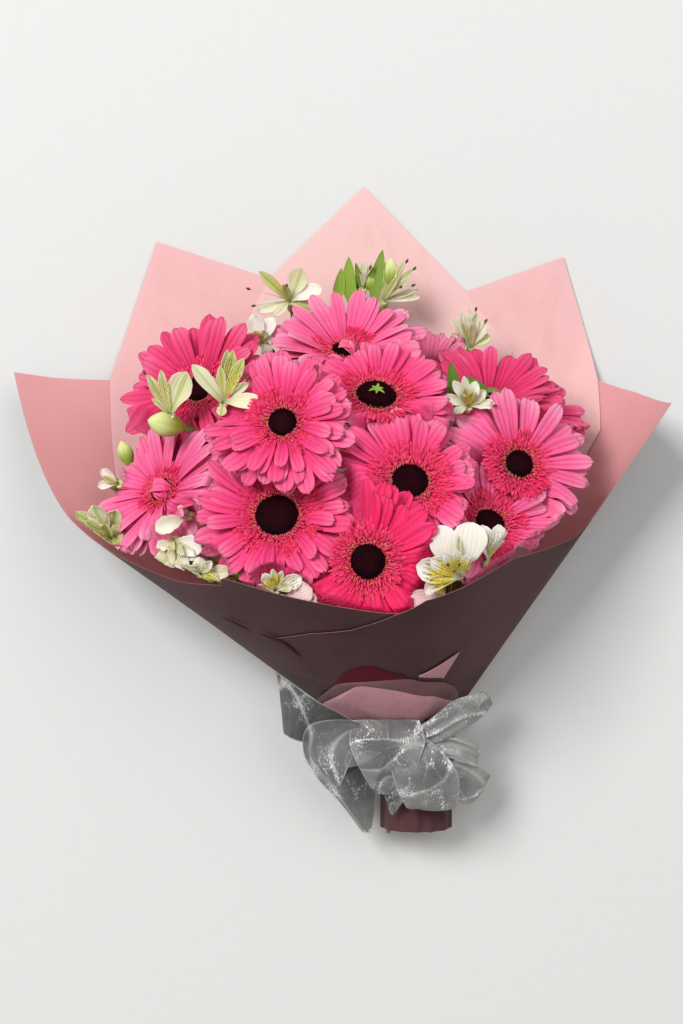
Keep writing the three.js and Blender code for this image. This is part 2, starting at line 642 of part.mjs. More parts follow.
// The tepals of one flower, three broad and three narrow, the whole turned by `spin` degrees.
function flowerTepals({ at, facing, size }, funnel, spin, reach, owner) {
  const { up, side, along } = frameOf(facing);
  const parts = [funnel];
  for (let k = 0; k < 6; k++) {
    const angle = (60 * k + spin) * deg;
    const out = side.clone().multiplyScalar(Math.cos(angle)).addScaledVector(along, Math.sin(angle));
    const broad = k % 2 === 0;
    const tepal = clearBlade({
      root: vec(at).addScaledVector(out, 2.5).addScaledVector(up, broad ? -2.4 : -1),
      out, up, length: alstroemeria.tepalLength * size * reach, lift: broad ? 46 : 58,
      curl: broad ? -62 : -48, roll: 5 * Math.sin(7 * k + spin),
      widths: broad ? [[0, 4], [0.62, 19], [1, 10]] : [[0, 4], [0.6, 10], [1, 5]],
      thickness: alstroemeria.tepalThickness,
    }, owner);
    if (tepal) parts.push(tepal.solid);
  }
  return union(parts);
}

// The white part of a spray. Each further flower is turned, and its tepals lengthened if need be,
// until they cross those of the flowers before, so that the spray is one body.
function sprayFlowers(spray, funnels) {
  const owner = spray.name + "_flowers";
  let sum = flowerTepals(spray.flowers[0], funnels[0], 20, 1, owner);
  spray.flowers.slice(1).forEach((flower, k) => {
    for (const reach of [1, 1.12, 1.25, 1.4])
      for (let spin = 5; spin < 65; spin += 10) {
        const both = sum.add(flowerTepals(flower, funnels[k + 1], spin, reach, owner));
        if (both.decompose().length > 1) continue;
        sum = both;
        return;
      }
    throw new Error("flower apart: " + owner + " " + (k + 1));
  });
  return largest(sum);
}

// ---- the ribbon ----
// The band round the handle, an oval ring.
function bandSolid() {
  const { centre, radius, tieY } = paper.handle;
  const inner = 1.2, sides = 16;
  const rows = [];
  const outer = inner + ribbon.thickness;
  const loop = [[inner, -0.5], [outer, -0.5], [outer, 0.5], [inner, 0.5]];
  const points = [], faces = [];
  for (let i = 0; i < sides; i++) {
    const a = (i / sides) * 2 * Math.PI;
    loop.forEach(([out, along]) => points.push(centre[0] + (radius[0] + out) * Math.sin(a),
      tieY - 4 + along * ribbon.bandWidth, centre[1] + (radius[1] + out) * Math.cos(a)));
    for (let k = 0; k < 4; k++) {
      const p = 4 * i + k, q = 4 * i + ((k + 1) % 4), r = (4 * (i + 1) + k) % (4 * sides),
        s = (4 * (i + 1) + ((k + 1) % 4)) % (4 * sides);
      faces.push(p, r, s, p, s, q);
    }
  }
  const geometry = new THREE.BufferGeometry();
  geometry.setAttribute("position", new THREE.Float32BufferAttribute(points, 3));
  geometry.setIndex(faces);
  const solid = solidOf(geometry);
  if (solid.volume() > 0) return solid;
  geometry.setIndex(faces.map((_, i) => faces[i - (i % 3) + [0, 2, 1][i % 3]]));
  return solidOf(geometry);
}

// The bow: each strip runs from the knot between two edges, and a loop comes back behind itself.
const knot = [37, -187, 76];
const strips = [
  // upper left tail
  [[[32, -178, 78], [32, -189, 78]], [[-1, -157, 84], [-5, -185, 80]], [[-25, -143, 84], [-30, -181, 74]],
    [[-51, -126, 72], [-44, -176, 58]]],
  // lower left tail, folded over on its way
  [[[32, -176, 78], [35, -185, 78]], [[3, -163, 88], [16, -178, 90]], [[-25, -167, 86], [0, -211, 92]],
    [[-29, -190, 70], [-3, -211, 76]], [[-19, -212, 58], [26, -198, 68]], [[-1, -233, 50], [28, -222, 58]],
    [[17, -258, 42], [24, -258, 44]]],
  // middle tail
  [[[29, -187, 80], [47, -188, 80]], [[25, -203, 86], [54, -206, 82]], [[33, -221, 76], [51, -221, 72]],
    [[39, -240, 62], [42, -240, 62]]],
  // lower right loop
  [[[35, -184, 80], [50, -178, 80]], [[39, -197, 94], [70, -187, 94]], [[47, -215, 92], [83, -209, 90]],
    [[52, -229, 80], [89, -229, 76]], [[51, -224, 69], [86, -221, 65]], [[45, -203, 68], [72, -201, 67]],
    [[37, -189, 74], [50, -187, 74]]],
  // upper right curl
  [[[42, -178, 80], [50, -186, 80]], [[66, -164, 90], [77, -180, 88]], [[89, -147, 88], [104, -166, 84]],
    [[112, -142, 76], [121, -152, 70]], [[109, -143, 62], [117, -155, 58]], [[86, -156, 66], [96, -169, 62]],
    [[54, -178, 74], [54, -186, 74]]],
  // right loop
  [[[50, -182, 80], [52, -190, 80]], [[80, -175, 84], [84, -193, 82]], [[104, -181, 76], [105, -201, 72]],
    [[111, -188, 64], [109, -201, 62]], [[106, -187, 54], [105, -202, 52]], [[80, -182, 64], [83, -195, 63]],
    [[54, -184, 75], [54, -190, 75]]],
  // far lower right loop
  [[[50, -186, 80], [50, -194, 80]], [[81, -195, 76], [76, -215, 74]], [[108, -202, 66], [97, -232, 66]],
    [[120, -211, 54], [111, -231, 52]], [[112, -208, 44], [100, -232, 42]], [[83, -198, 63], [79, -213, 62]],
    [[52, -188, 75], [52, -194, 75]]],
];

function stripSolid(stations) {
  const edges = stations.map((pair) => pair.map(vec));
  return skinSolid(edges.map((pair, i) => {
    const before = edges[Math.max(0, i - 1)], after = edges[Math.min(edges.length - 1, i + 1)];
    return pair.map((top, side) => {
      const along = after[side].clone().sub(before[side]);
      const normal = along.cross(pair[1].clone().sub(pair[0])).normalize();
      return { top, bottom: top.clone().addScaledVector(normal, -ribbon.thickness) };
    });
  }));
}

function bowSolid() {
  const lump = solidOf(new THREE.SphereGeometry(1, 8, 6).scale(27, 16, 11).translate(...knot));
  return largest(union([lump, ...strips.map(stripSolid)]));
}

// ---- assembly, from what is stiff to what gives way ----
sheets.forEach((sheet) => {
  const solid = sheetSolid(sheet);
  remember(sheet.name, solid);
  addMesh(sheet.name, solid, colours.paper);
});

// Nothing hangs out over the front lip of the wrap: the way above it is kept clear too.
const lipFrom = -46, lipTo = 60, lipReach = [205, 350];
const beyondLip = skinSolid(Array.from({ length: 25 }, (_, i) => mix(lipFrom, lipTo, i / 24)).map((angle) =>
  lipReach.map((reach) => ({ top: wrapPoint(angle, reach, 1), bottom: wrapPoint(angle, reach, 0) }))));
remember("beyond_lip", beyondLip);

const hearts = new Map(gerberas.map((flower) => {
  const heart = gerberaHeart(flower);
  remember(flower.name + "_core", heart.core);
  remember(flower.name + "_eye", heart.eye);
  remember(flower.name + "_calyx", heart.calyx);
  return [flower.name, heart];
}));
const funnels = new Map(sprays.map((spray) => {
  const parts = spray.flowers.map(flowerFunnel);
  parts.forEach((solid) => remember(spray.name + "_flowers", solid));
  return [spray.name, parts];
}));
gerberas.forEach((flower) => {
  const stem = gerberaStem(flower, hearts.get(flower.name));
  remember(flower.name + "_stem", stem);
  addMesh("gerbera_" + flower.name + "_stem", stem, colours.stem);
});
sprays.toSorted((a, b) => b.flowers.length - a.flowers.length).forEach((spray) => {
  const green = sprayGreens(spray);
  remember(spray.name + "_greens", green);
  addMesh("alstroemeria_" + spray.name + "_stem", green, colours.leaves);
});

// No petal lies over the eye of a gerbera: a short way before each eye is kept clear.
gerberas.forEach((flower) => {
  const { frame } = hearts.get(flower.name);
  const view = turnedSolid([[0, 0], [0.8 * flower.disc, 0], [0.8 * flower.disc, 22], [0, 22]], 8,
    frame.middle.clone().addScaledVector(frame.up, 7), frame.up);
  remember(flower.name + "_view", view);
});

const addFlowers = (spray) => {
  const white = sprayFlowers(spray, funnels.get(spray.name));
  remember(spray.name + "_flowers", white);
  addMesh("alstroemeria_" + spray.name + "_flowers", white, colours.whitePetals);
};
const inFront = (spray) => ["7", "4", "6", "3"].includes(spray.name); // these lie over the gerberas
sprays.filter(inFront).forEach(addFlowers);
gerberas.forEach((flower) => {
  const heart = hearts.get(flower.name);
  const bloom = gerberaBloom(flower, heart);
  const place = vec(flower.centre), up = vec(flower.facing);
  addMesh("gerbera_" + flower.name + "_petals", bloom, colours.petals, place, up);
  addMesh("gerbera_" + flower.name + "_eye", heart.eye, colours.eye, place, up);
});
sprays.filter((spray) => !inFront(spray)).forEach(addFlowers);
addMesh("ribbon_band", bandSolid(), colours.ribbon);
addMesh("ribbon_bow", bowSolid(), colours.ribbon);

// The origin goes to the bottom centre of the whole.
const extent = new THREE.Box3().setFromObject(root);
const middleOf = extent.getCenter(new THREE.Vector3());
root.position.set(-middleOf.x, -middleOf.y, 0);
root.updateMatrixWorld(true);

export default root;
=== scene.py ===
# A wrapped bouquet of pink gerberas and white alstroemerias, lying on its back.
import bpy
import math
import random
import numpy as np
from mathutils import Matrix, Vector


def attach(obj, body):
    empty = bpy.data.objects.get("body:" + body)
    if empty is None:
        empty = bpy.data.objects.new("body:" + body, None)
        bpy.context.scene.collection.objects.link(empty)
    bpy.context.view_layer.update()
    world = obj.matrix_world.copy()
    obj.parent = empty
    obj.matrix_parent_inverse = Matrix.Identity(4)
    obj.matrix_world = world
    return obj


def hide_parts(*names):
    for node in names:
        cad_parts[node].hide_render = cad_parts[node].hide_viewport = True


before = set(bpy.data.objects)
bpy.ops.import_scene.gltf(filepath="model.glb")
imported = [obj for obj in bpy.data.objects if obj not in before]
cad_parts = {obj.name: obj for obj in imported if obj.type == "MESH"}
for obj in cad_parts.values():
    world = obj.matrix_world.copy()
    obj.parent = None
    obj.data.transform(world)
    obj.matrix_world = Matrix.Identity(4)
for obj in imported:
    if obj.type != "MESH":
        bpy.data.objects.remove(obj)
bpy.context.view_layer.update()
print("frame loaded, nodes:", len(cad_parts))

# Shapes are drawn in millimetres about the middle of the bouquet, then moved to the frame.
drawing = {"shift": (6.0, -3.2, 0.0), "millimetre": 0.001, "floorGap": 0.25, "viewHeight": 1500}


def vec(*values):
    return np.array(values[0] if len(values) == 1 else values, float)


def unit(v):
    v = np.asarray(v, float)
    return v / np.linalg.norm(v, axis=-1, keepdims=True)


def smooth(t):
    t = np.clip(t, 0, 1)
    return t * t * (3 - 2 * t)


def between(p0, p1, p2, p3, t):
    # Twice the place on a smooth curve through four points, from the second to the third.
    return (2 * p1 + (p2 - p0) * t + (2 * p0 - 5 * p1 + 4 * p2 - p3) * t ** 2
            + (3 * (p1 - p2) - p0 + p3) * t ** 3)


def along(points, places):
    # Points of a smooth curve through the given ones, at places from 0 to 1.
    points = np.asarray(points, float)
    last = len(points) - 1
    s = np.clip(np.asarray(places, float), 0, 1) * last
    i = np.minimum(s.astype(int), last - 1)
    t = (s - i).reshape((-1,) + (1,) * (points.ndim - 1))
    at = lambda k: points[np.clip(i + k, 0, last)]
    p0 = np.where((i == 0).reshape(t.shape), 2 * at(0) - at(1), at(-1))
    p3 = np.where((i == last - 1).reshape(t.shape), 2 * at(1) - at(0), at(2))
    return 0.5 * between(p0, at(0), at(1), p3, t)


def ripple(x, y, seed):
    # A smooth wavy field from about -1 to 1, the same for the same seed.
    draw, waves, total = random.Random(seed), 5, 0.0
    for _ in range(waves):
        turn, phase, pitch = draw.uniform(0, math.tau), draw.uniform(0, math.tau), draw.uniform(0.6, 1.7)
        total = total + np.sin(pitch * (x * math.cos(turn) + y * math.sin(turn)) + phase)
    return total / math.sqrt(waves) / 1.3


def frameOf(facing):
    up = unit(facing)
    side = unit(np.cross((0, 1, 0), up))
    return side, np.cross(up, side), up


def spoke(turn, side, ahead):
    return math.cos(turn) * side + math.sin(turn) * ahead


def wheel(spokes, side, ahead):
    turns = np.linspace(0, math.tau, spokes, endpoint=False)
    return np.outer(np.cos(turns), side) + np.outer(np.sin(turns), ahead)


def turned(foot, rim, up, rows):
    # Rings about an axis, one for each radius and height in rows.
    return np.array([foot + radius * rim + height * up for radius, height in rows])


class Heap:
    # Gathers grids of points into one mesh, with a UV map, a tint and a kind on every point.
    def __init__(self):
        self.points, self.faces, self.uvs, self.tints, self.kinds, self.count = [], [], [], [], [], 0

    def grid(self, points, uv=None, tint=0.5, kind=0.0, closed=False, capped=False):
        rows, columns = points.shape[:2]
        if uv is None:
            uv = np.stack(np.meshgrid(np.linspace(0, 1, columns), np.linspace(0, 1, rows)), -1)
        r, c = np.meshgrid(np.arange(rows - 1), np.arange(columns if closed else columns - 1), indexing="ij")
        here = self.count + r * columns + c
        beside = self.count + r * columns + (c + 1) % columns
        self.faces += np.stack([here, beside, beside + columns, here + columns], -1).reshape(-1, 4).tolist()
        if capped:
            self.faces.append([self.count + k for k in reversed(range(columns))])
            self.faces.append([self.count + (rows - 1) * columns + k for k in range(columns)])
        self.points.append(points.reshape(-1, 3))
        self.uvs.append(uv.reshape(-1, 2))
        for marks, value in ((self.tints, tint), (self.kinds, kind)):
            marks.append(np.broadcast_to(np.ravel(value).astype(float), (rows * columns,)))
        self.count += rows * columns

    def solid(self, points, **marks):
        self.grid(points, closed=True, capped=True, **marks)

    def tube(self, points, radii, sides, rows, **marks):
        # A round tube along a smooth curve, with a radius at each of the given points.
        places = np.linspace(0, 1, rows)
        line = along(points, places)
        radius = np.interp(places, np.linspace(0, 1, len(radii)), radii)
        ahead = unit(np.gradient(line, axis=0))
        side = unit(np.cross(ahead[0], (0.3, 0.1, 1)))
        rings = []
        for p, way, r in zip(line, ahead, radius):
            side = unit(side - way * (side @ way))
            rings.append(p + r * wheel(sides, side, np.cross(way, side)))
        self.solid(np.array(rings), **marks)

    def place(self, bend):
        # Bends every point gathered so far, by a function of all points.
        self.points = [bend(np.concatenate(self.points))]

    def make(self, name, looks, slot, node=None, thick=0.0, offset=-1, backSlot=0):
        # The piece itself, with thick in millimetres, and node the solid that it stands for.
        points = (np.concatenate(self.points) + vec(drawing["shift"])) * drawing["millimetre"]
        mesh = bpy.data.meshes.new(name)
        mesh.from_pydata(points.tolist(), [], self.faces)
        loops = np.empty(len(mesh.loops), np.int32)
        mesh.loops.foreach_get("vertex_index", loops)
        uv = np.concatenate(self.uvs)[loops].astype(np.float32)
        mesh.uv_layers.new(name="drawn").data.foreach_set("uv", uv.ravel())
        for label, values in (("tint", self.tints), ("kind", self.kinds)):
            mesh.attributes.new(label, "FLOAT", "POINT").data.foreach_set(
                "value", np.concatenate(values).astype(np.float32))
        for look in looks:
            mesh.materials.append(paints[look])
        mesh.polygons.foreach_set("use_smooth", [True] * len(mesh.polygons))
        mesh.update()
        piece = bpy.data.objects.new(name, mesh)
        bpy.context.scene.collection.objects.link(piece)
        if thick:
            body = piece.modifiers.new("thickness", "SOLIDIFY")
            body.thickness, body.offset = thick * drawing["millimetre"], offset
            body.material_offset = body.material_offset_rim = backSlot
            piece.modifiers.new("crispRims", "WEIGHTED_NORMAL")
        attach(piece, "root")
        if node:
            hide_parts(node)
        return piece


def bladeGrid(length, width, lift, curl, roll=0, sway=0, rows=13, columns=7, cup=0.0, ridge=0.0, outline=None,
              tipRound=0.0, ruffle=0.0, seed=0, power=1.6):
    # One petal or leaf, lying along +X from its root, with its face up. Angles in degrees.
    t = 1 - (1 - np.linspace(0, 1, rows)) ** 1.35  # rows closer together at the tip
    u = np.linspace(-1, 1, columns)
    bend = np.radians(lift + curl * t ** power)
    step = np.diff(t) * length
    mid = (bend[1:] + bend[:-1]) / 2
    x = np.concatenate([[0], np.cumsum(np.cos(mid) * step)])
    z = np.concatenate([[0], np.cumsum(np.sin(mid) * step)])
    half = 0.5 * width * np.interp(t, *outline)
    if ruffle > 1:
        half = half * (1 + 0.05 * ruffle * ripple(t * 16, 0 * t, seed + 7))
    across = np.outer(half, u)
    height = np.outer(half, cup * u ** 2) + ridge * np.cos(3 * math.pi * u)[None, :] * smooth(t * 3)[:, None]
    if ruffle:
        height = height + ruffle * np.abs(u)[None, :] * ripple(t[:, None] * 9, u[None, :] * 2, seed) * t[:, None]
    angle = np.radians(roll) * t[:, None]
    y = across * np.cos(angle) - height * np.sin(angle) + (sway * t ** 2)[:, None]
    n = across * np.sin(angle) + height * np.cos(angle)
    back = tipRound * length * (u ** 2)[None, :] * (t ** 5)[:, None]
    gx = x[:, None] - n * np.sin(bend)[:, None] - back * np.cos(bend)[:, None]
    gz = z[:, None] + n * np.cos(bend)[:, None] - back * np.sin(bend)[:, None]
    return np.stack([gx, y, gz], -1)


def stand(grid, root, out, up):
    # Puts a blade at a point: +X goes to out, +Z to up.
    out = unit(out)
    up = unit(up - out * (out @ up))
    return root + grid[..., :1] * out + grid[..., 1:2] * np.cross(up, out) + grid[..., 2:] * up


def shade(code):
    # A colour as it shows on a screen, such as "ea3f7c", in the renderer's numbers.
    parts = [int(code[k:k + 2], 16) / 255 for k in (0, 2, 4)]
    return tuple(p / 12.92 if p <= 0.04045 else ((p + 0.055) / 1.055) ** 2.4 for p in parts) + (1.0,)


class Wire:
    # A value on its way through a material, so that sums can be written out.
    def __init__(self, paint, socket):
        self.paint, self.socket = paint, socket

    def __add__(self, other): return self.paint.sum("ADD", self, other)
    def __radd__(self, other): return self.paint.sum("ADD", other, self)
    def __sub__(self, other): return self.paint.sum("SUBTRACT", self, other)
    def __rsub__(self, other): return self.paint.sum("SUBTRACT", other, self)
    def __mul__(self, other): return self.paint.sum("MULTIPLY", self, other)
    def __rmul__(self, other): return self.paint.sum("MULTIPLY", other, self)
    def __pow__(self, other): return self.paint.sum("POWER", self, other)


class Paint:
    # One material. Constants go on the shader itself, what varies is linked.
    def __init__(self, name, constants):
        self.material = bpy.data.materials.new(name)
        self.material.use_nodes = True
        self.tree = self.material.node_tree
        self.tree.nodes.clear()
        self.shader = self.tree.nodes.new("ShaderNodeBsdfPrincipled")
        output = self.tree.nodes.new("ShaderNodeOutputMaterial")
        self.tree.links.new(self.shader.outputs[0], output.inputs[0])
        for socket, value in constants.items():
            self.shader.inputs[socket].default_value = value

    def node(self, kind, settings=None, inputs=None, give=0):
        made = self.tree.nodes.new(kind)
        for key, value in (settings or {}).items():
            setattr(made, key, value)
        for key, value in (inputs or {}).items():
            self.feed(made.inputs[key], value)
        return Wire(self, made.outputs[give])

    def feed(self, socket, value):
        if isinstance(value, Wire):
            self.tree.links.new(value.socket, socket)
        else:
            socket.default_value = value

    def sum(self, operation, a, b=0.0, clamp=False):
        return self.node("ShaderNodeMath", {"operation": operation, "use_clamp": clamp}, {0: a, 1: b})

    def clamp(self, a): return self.sum("ADD", a, 0.0, True)
    def least(self, a, b): return self.sum("MINIMUM", a, b)
    def most(self, a, b): return self.sum("MAXIMUM", a, b)
    def size(self, a): return self.sum("ABSOLUTE", a)
    def lines(self, a): return self.size(self.sum("SINE", a))
    def mark(self, name): return self.node("ShaderNodeAttribute", {"attribute_name": name}, None, "Fac")
    def place(self): return self.node("ShaderNodeTexCoord", None, None, "Object")

    def rise(self, value, low, high):
        # 0 below low, 1 above high, smooth between.
        return self.node("ShaderNodeMapRange", {"interpolation_type": "SMOOTHSTEP"},
                         {"Value": value, "From Min": low, "From Max": high})

    def mix(self, factor, a, b, how="MIX"):
        return self.node("ShaderNodeMix", {"data_type": "RGBA", "blend_type": how}, {0: factor, 6: a, 7: b}, 2)

    def start(self, factor, first, second):
        self.colour = self.mix(factor, shade(first), shade(second))

    def lay(self, factor, code, how="MIX"):
        # One more colour over those so far.
        self.colour = self.mix(factor, self.colour, shade(code), how)

    def drawn(self):
        # Across and along the petal, leaf, sheet or strip, both 0 to 1.
        uv = self.node("ShaderNodeUVMap", {"uv_map": "drawn"})
        return [self.node("ShaderNodeSeparateXYZ", None, {0: uv}, k) for k in (0, 1)]

    def grain(self, scale, detail=3.0, rough=0.5, where=None):
        return self.node("ShaderNodeTexNoise", None, {"Vector": where or self.place(), "Scale": scale,
                                                      "Detail": detail, "Roughness": rough})

    def stretched(self, x, y, z=0.0):
        return self.node("ShaderNodeCombineXYZ", None, {0: x, 1: y, 2: z})

    def bump(self, height, distance, strength):
        self.feed(self.shader.inputs["Normal"], self.node(
            "ShaderNodeBump", None, {"Height": height, "Distance": distance, "Strength": strength}))

    def use(self, **varying):
        self.feed(self.shader.inputs["Base Color"], self.colour)
        for name, value in varying.items():
            self.feed(self.shader.inputs[name.capitalize()], value)
        return self.material


def petalPaint(name, root, body, tip, line):
    p = Paint(name, {"Specular IOR Level": 0.28, "Sheen Weight": 0.06, "Sheen Roughness": 0.45,
                     "Subsurface Weight": 0.12, "Subsurface Radius": (0.004, 0.001, 0.0012),
                     "Subsurface Scale": 0.6})
    across, far = p.drawn()
    tint, dry = p.mark("tint"), p.mark("kind")
    wander = p.grain(9.0, 2.0, where=p.stretched(across * 1.4, far * 0.9, tint * 40.0))
    lane = across + 0.06 * (wander - 0.5)
    # two long grooves along the petal, darkened as painted shade, and fainter dark lines between them, but clean rims
    rim = p.least(across, 1 - across)
    groove = p.most(p.lines(lane * (3 * math.pi)) ** 0.42, 1 - p.rise(rim, 0.04, 0.16))
    hair = p.most(p.lines(lane * (6 * math.pi) + 1.57) ** 0.4, 1 - p.rise(rim, 0.06, 0.16))
    fine = p.lines(lane * (14 * math.pi) + tint * 9.0)
    streak = p.grain(14.0, 3.0, 0.6, p.stretched(across * 3.2, far * 0.35, tint * 23.0))
    p.start(p.rise(far, 0.0, 0.42), root, body)
    p.lay(p.rise(far, 0.40, 1.0) * (0.15 + 0.75 * tint), tip)
    p.lay(0.45 * (streak - 0.3), tip, "SOFT_LIGHT")
    dark = (1 - groove) * (1.15 - 0.35 * far) + 0.45 * (1 - hair) * (1.0 - 0.5 * far) + 0.10 * (1 - fine)
    # the line colour lays painted shade in the grooves, with the fainter dark lines between them, darker towards the
    # root
    p.lay(0.62 * p.clamp(dark), line)
    p.lay(0.28 * (1 - tint), root)
    p.lay(dry * (0.45 + 0.5 * streak), "c0524f")
    p.bump(groove * 0.7 + hair * 0.35 + fine * 0.2 + streak * 0.4, 0.0007, 0.85)
    return p.use(roughness=0.48 + 0.14 * streak)


def floretPaint(name, body, tip):
    p = Paint(name, {"Specular IOR Level": 0.25, "Sheen Weight": 0.08, "Subsurface Weight": 0.1,
                     "Subsurface Radius": (0.003, 0.001, 0.001), "Subsurface Scale": 0.5})
    far = p.drawn()[1]
    speck = p.grain(700.0, 2.0)
    p.start(p.rise(far, 0.2, 1.0), body, tip)
    p.lay(0.5 * (p.mark("tint") - 0.4), "f66a98")
    tan = p.mix(speck, shade("9c5a34"), shade("d9a35c"))
    p.colour = p.mix(p.mark("kind") * p.rise(far, 0.45, 0.8), p.colour, tan)
    p.lay(0.45 * (1 - p.rise(far, 0.0, 0.45)), "a00c42")
    p.bump(speck, 0.0002, 0.5)
    return p.use(roughness=0.5 + 0.15 * speck)


def eyePaint(name):
    p = Paint(name, {"Specular IOR Level": 0.05})
    speck = p.grain(900.0, 3.0)
    p.start(p.rise(p.drawn()[1], 0.3, 1.0) * (0.25 + 0.75 * p.mark("tint")), "0c0104", "460719")
    p.lay(p.rise(speck, 0.6, 0.8) * 0.4, "520f26")
    p.bump(speck, 0.0002, 0.6)
    return p.use(roughness=0.55 + 0.2 * speck)


def greenPaint(name, dark, light, tip):
    # tint runs from leaf to bud, far is along the stem, leaf or bud
    p = Paint(name, {"Specular IOR Level": 0.42, "Subsurface Weight": 0.06,
                     "Subsurface Radius": (0.001, 0.002, 0.0006), "Subsurface Scale": 0.5})
    across, far = p.drawn()
    tint, kind = p.mark("tint"), p.mark("kind")
    mottle = p.grain(60.0, 4.0, 0.6)
    vein = p.lines(across * (9 * math.pi)) ** 0.4
    p.start(tint, dark, light)
    p.lay(0.5 * mottle, light)
    p.lay(0.4 * (1 - vein), dark)
    p.lay(kind * p.rise(far, 0.35, 1.0), tip)
    p.lay(0.35 * (p.rise(p.grain(90.0, 2.0), 0.55, 0.75) * kind * p.rise(far, 0.5, 1.0)), "c07a3c")
    p.bump(vein * 0.7 + mottle * 0.5, 0.0004, 0.7)
    return p.use(roughness=0.40 + 0.2 * mottle)


def tepalPaint(name):
    # tint goes from pale pink below 0 through white to lime at 1; kind is how far a tepal has
    # the yellow throat with dark streaks, and 2 is a brown anther
    p = Paint(name, {"Specular IOR Level": 0.35, "Sheen Weight": 0.08, "Subsurface Weight": 0.15,
                     "Subsurface Radius": (0.002, 0.002, 0.0015), "Subsurface Scale": 0.6})
    across, far = p.drawn()
    tint, kind = p.mark("tint"), p.mark("kind")
    lime = p.clamp(tint)
    flow = p.grain(16.0, 3.0, 0.55, p.stretched(across * 2.6, far * 0.5, tint * 31.0))
    vein = p.lines((across + 0.05 * (flow - 0.5)) * (7 * math.pi)) ** 0.5
    p.start(lime, "f1ece2", "cfd37c")
    p.lay(p.clamp(0 - 2.2 * tint), "efc6ca")
    p.lay(0.5 * (1 - vein) * (0.16 + 1.1 * lime), "8f9640")
    # paler rims with a breath of pink, and a green keel on the lime ones
    rim = 1 - p.rise(p.least(across, 1 - across), 0.02, 0.22)
    p.lay(0.55 * rim * p.rise(lime, 0.1, 0.5), "ecd9c6")
    keel = 1 - p.rise(p.size(across - 0.5), 0.03, 0.17)
    p.lay(keel * p.rise(lime, 0.15, 0.7) * 0.75, "8fa63c")
    p.lay((1 - p.rise(far, 0.0, 0.35)) * (0.25 + 0.6 * lime), "b5bf62")
    p.lay(0.3 * (1 - p.rise(far, 0.0, 0.22)), "8a8f6a")
    p.lay(0.95 * (kind * p.rise(far, 0.06, 0.2) * (1 - p.rise(far, 0.48, 0.7))), "e2cf2c")
    lane = p.lines((across + 0.16 * (flow - 0.5)) * (5 * math.pi))
    dash = p.rise(p.grain(6.0, 1.0, 0.5, p.stretched(across * 9.0, far * 3.4, tint * 17.0)), 0.49, 0.54)
    streak = p.rise(kind, 0.12, 0.4) * p.rise(lane, 0.62, 0.8) * dash
    streak = streak * p.rise(far, 0.14, 0.24) * (1 - p.rise(far, 0.66, 0.82))
    p.lay(0.95 * streak, "34140f")
    p.lay(p.rise(kind, 1.3, 1.7), "6b4a3c")
    p.bump(vein * 0.6 + flow * 0.8, 0.0005, 0.7)
    return p.use(roughness=0.44 + 0.15 * flow)


def paperPaint(name, body, deep, light, gloss=0.3):
    # tint goes from the body colour to the light one
    p = Paint(name, {"Specular IOR Level": gloss, "Sheen Weight": 0.03})
    across, far = p.drawn()
    fibre = p.grain(420.0, 4.0, 0.7)
    cloud = p.grain(7.0, 3.0, 0.5)
    long = p.grain(5.0, 4.0, 0.6, p.stretched(across * 9.0, far * 1.2))
    p.start(p.clamp(p.mark("tint") + 0.25 * (cloud - 0.5)), body, light)
    p.lay(0.30 * p.rise(long, 0.50, 0.85), deep)
    p.lay(0.10 * fibre, deep)
    p.bump(fibre * 0.25 + long * 1.2, 0.0005, 0.4)
    return p.use(roughness=0.50 + 0.18 * fibre)


def organzaPaint(name):
    # sheer ribbon: a fine weave with painted glints, white in short dashes along the creases, where kind is high
    p = Paint(name, {"Specular IOR Level": 0.6, "Sheen Weight": 0.25, "Sheen Roughness": 0.3})
    across, far = p.drawn()
    crease, paintedLight = p.mark("kind"), p.mark("tint")
    weave = p.lines(across * 420.0) * p.lines(far * 900.0)
    dash = p.grain(400.0, 2.0, 0.7, p.node("ShaderNodeMapping", None, {
        "Vector": p.place(), "Scale": (3.0, 0.9, 2.0)}))
    patch = p.grain(42.0, 2.0, 0.6)
    glint = p.rise(dash + 0.17 * crease + 0.8 * (patch - 0.5), 0.64, 0.84)
    glint = glint * (0.45 + 1.1 * p.least(paintedLight, 0.5))
    cloud = p.grain(30.0, 3.0)
    # paintedLight is painted light and shade for each strip: darker and more opaque where a strip lies in shade,
    # lighter where lit, with weaker glints on the dark ones
    low = p.mix(paintedLight, shade("3c3c3b"), shade("949493"))
    high = p.mix(paintedLight, shade("5c5c5b"), shade("cbcbc9"))
    p.colour = p.mix(p.rise(cloud, 0.3, 0.7), low, high)
    # painted highlight on the crests of the creases
    p.lay(p.rise(crease, 0.5, 1.0) * 0.4, "d6d6d4")
    # the glints are painted highlights, with a little metallic
    p.lay(glint * 0.95, "ffffff")
    selvedge = p.rise(p.size(across - 0.5), 0.472, 0.49)
    p.lay(0.45 * selvedge, "c4c8c8")
    cover = 0.78 - 0.4 * p.least(paintedLight, 0.5) + 0.10 * weave + 0.36 * glint + 0.14 * selvedge
    p.bump(crease * 0.5 + weave * 0.3 + cloud, 0.0006, 0.7)
    return p.use(roughness=0.34 + 0.2 * cloud, alpha=p.clamp(cover + 0.22 * p.rise(crease, 0.4, 1.0)),
                 metallic=0.2 * glint)


def floorPaint(name, body):
    p = Paint(name, {"Specular IOR Level": 0.2})
    grain = p.grain(90.0, 4.0)
    p.start(0.35 * grain, body, "d3d4d3")
    p.bump(grain, 0.0003, 0.15)
    return p.use(roughness=0.8 + 0.1 * grain)


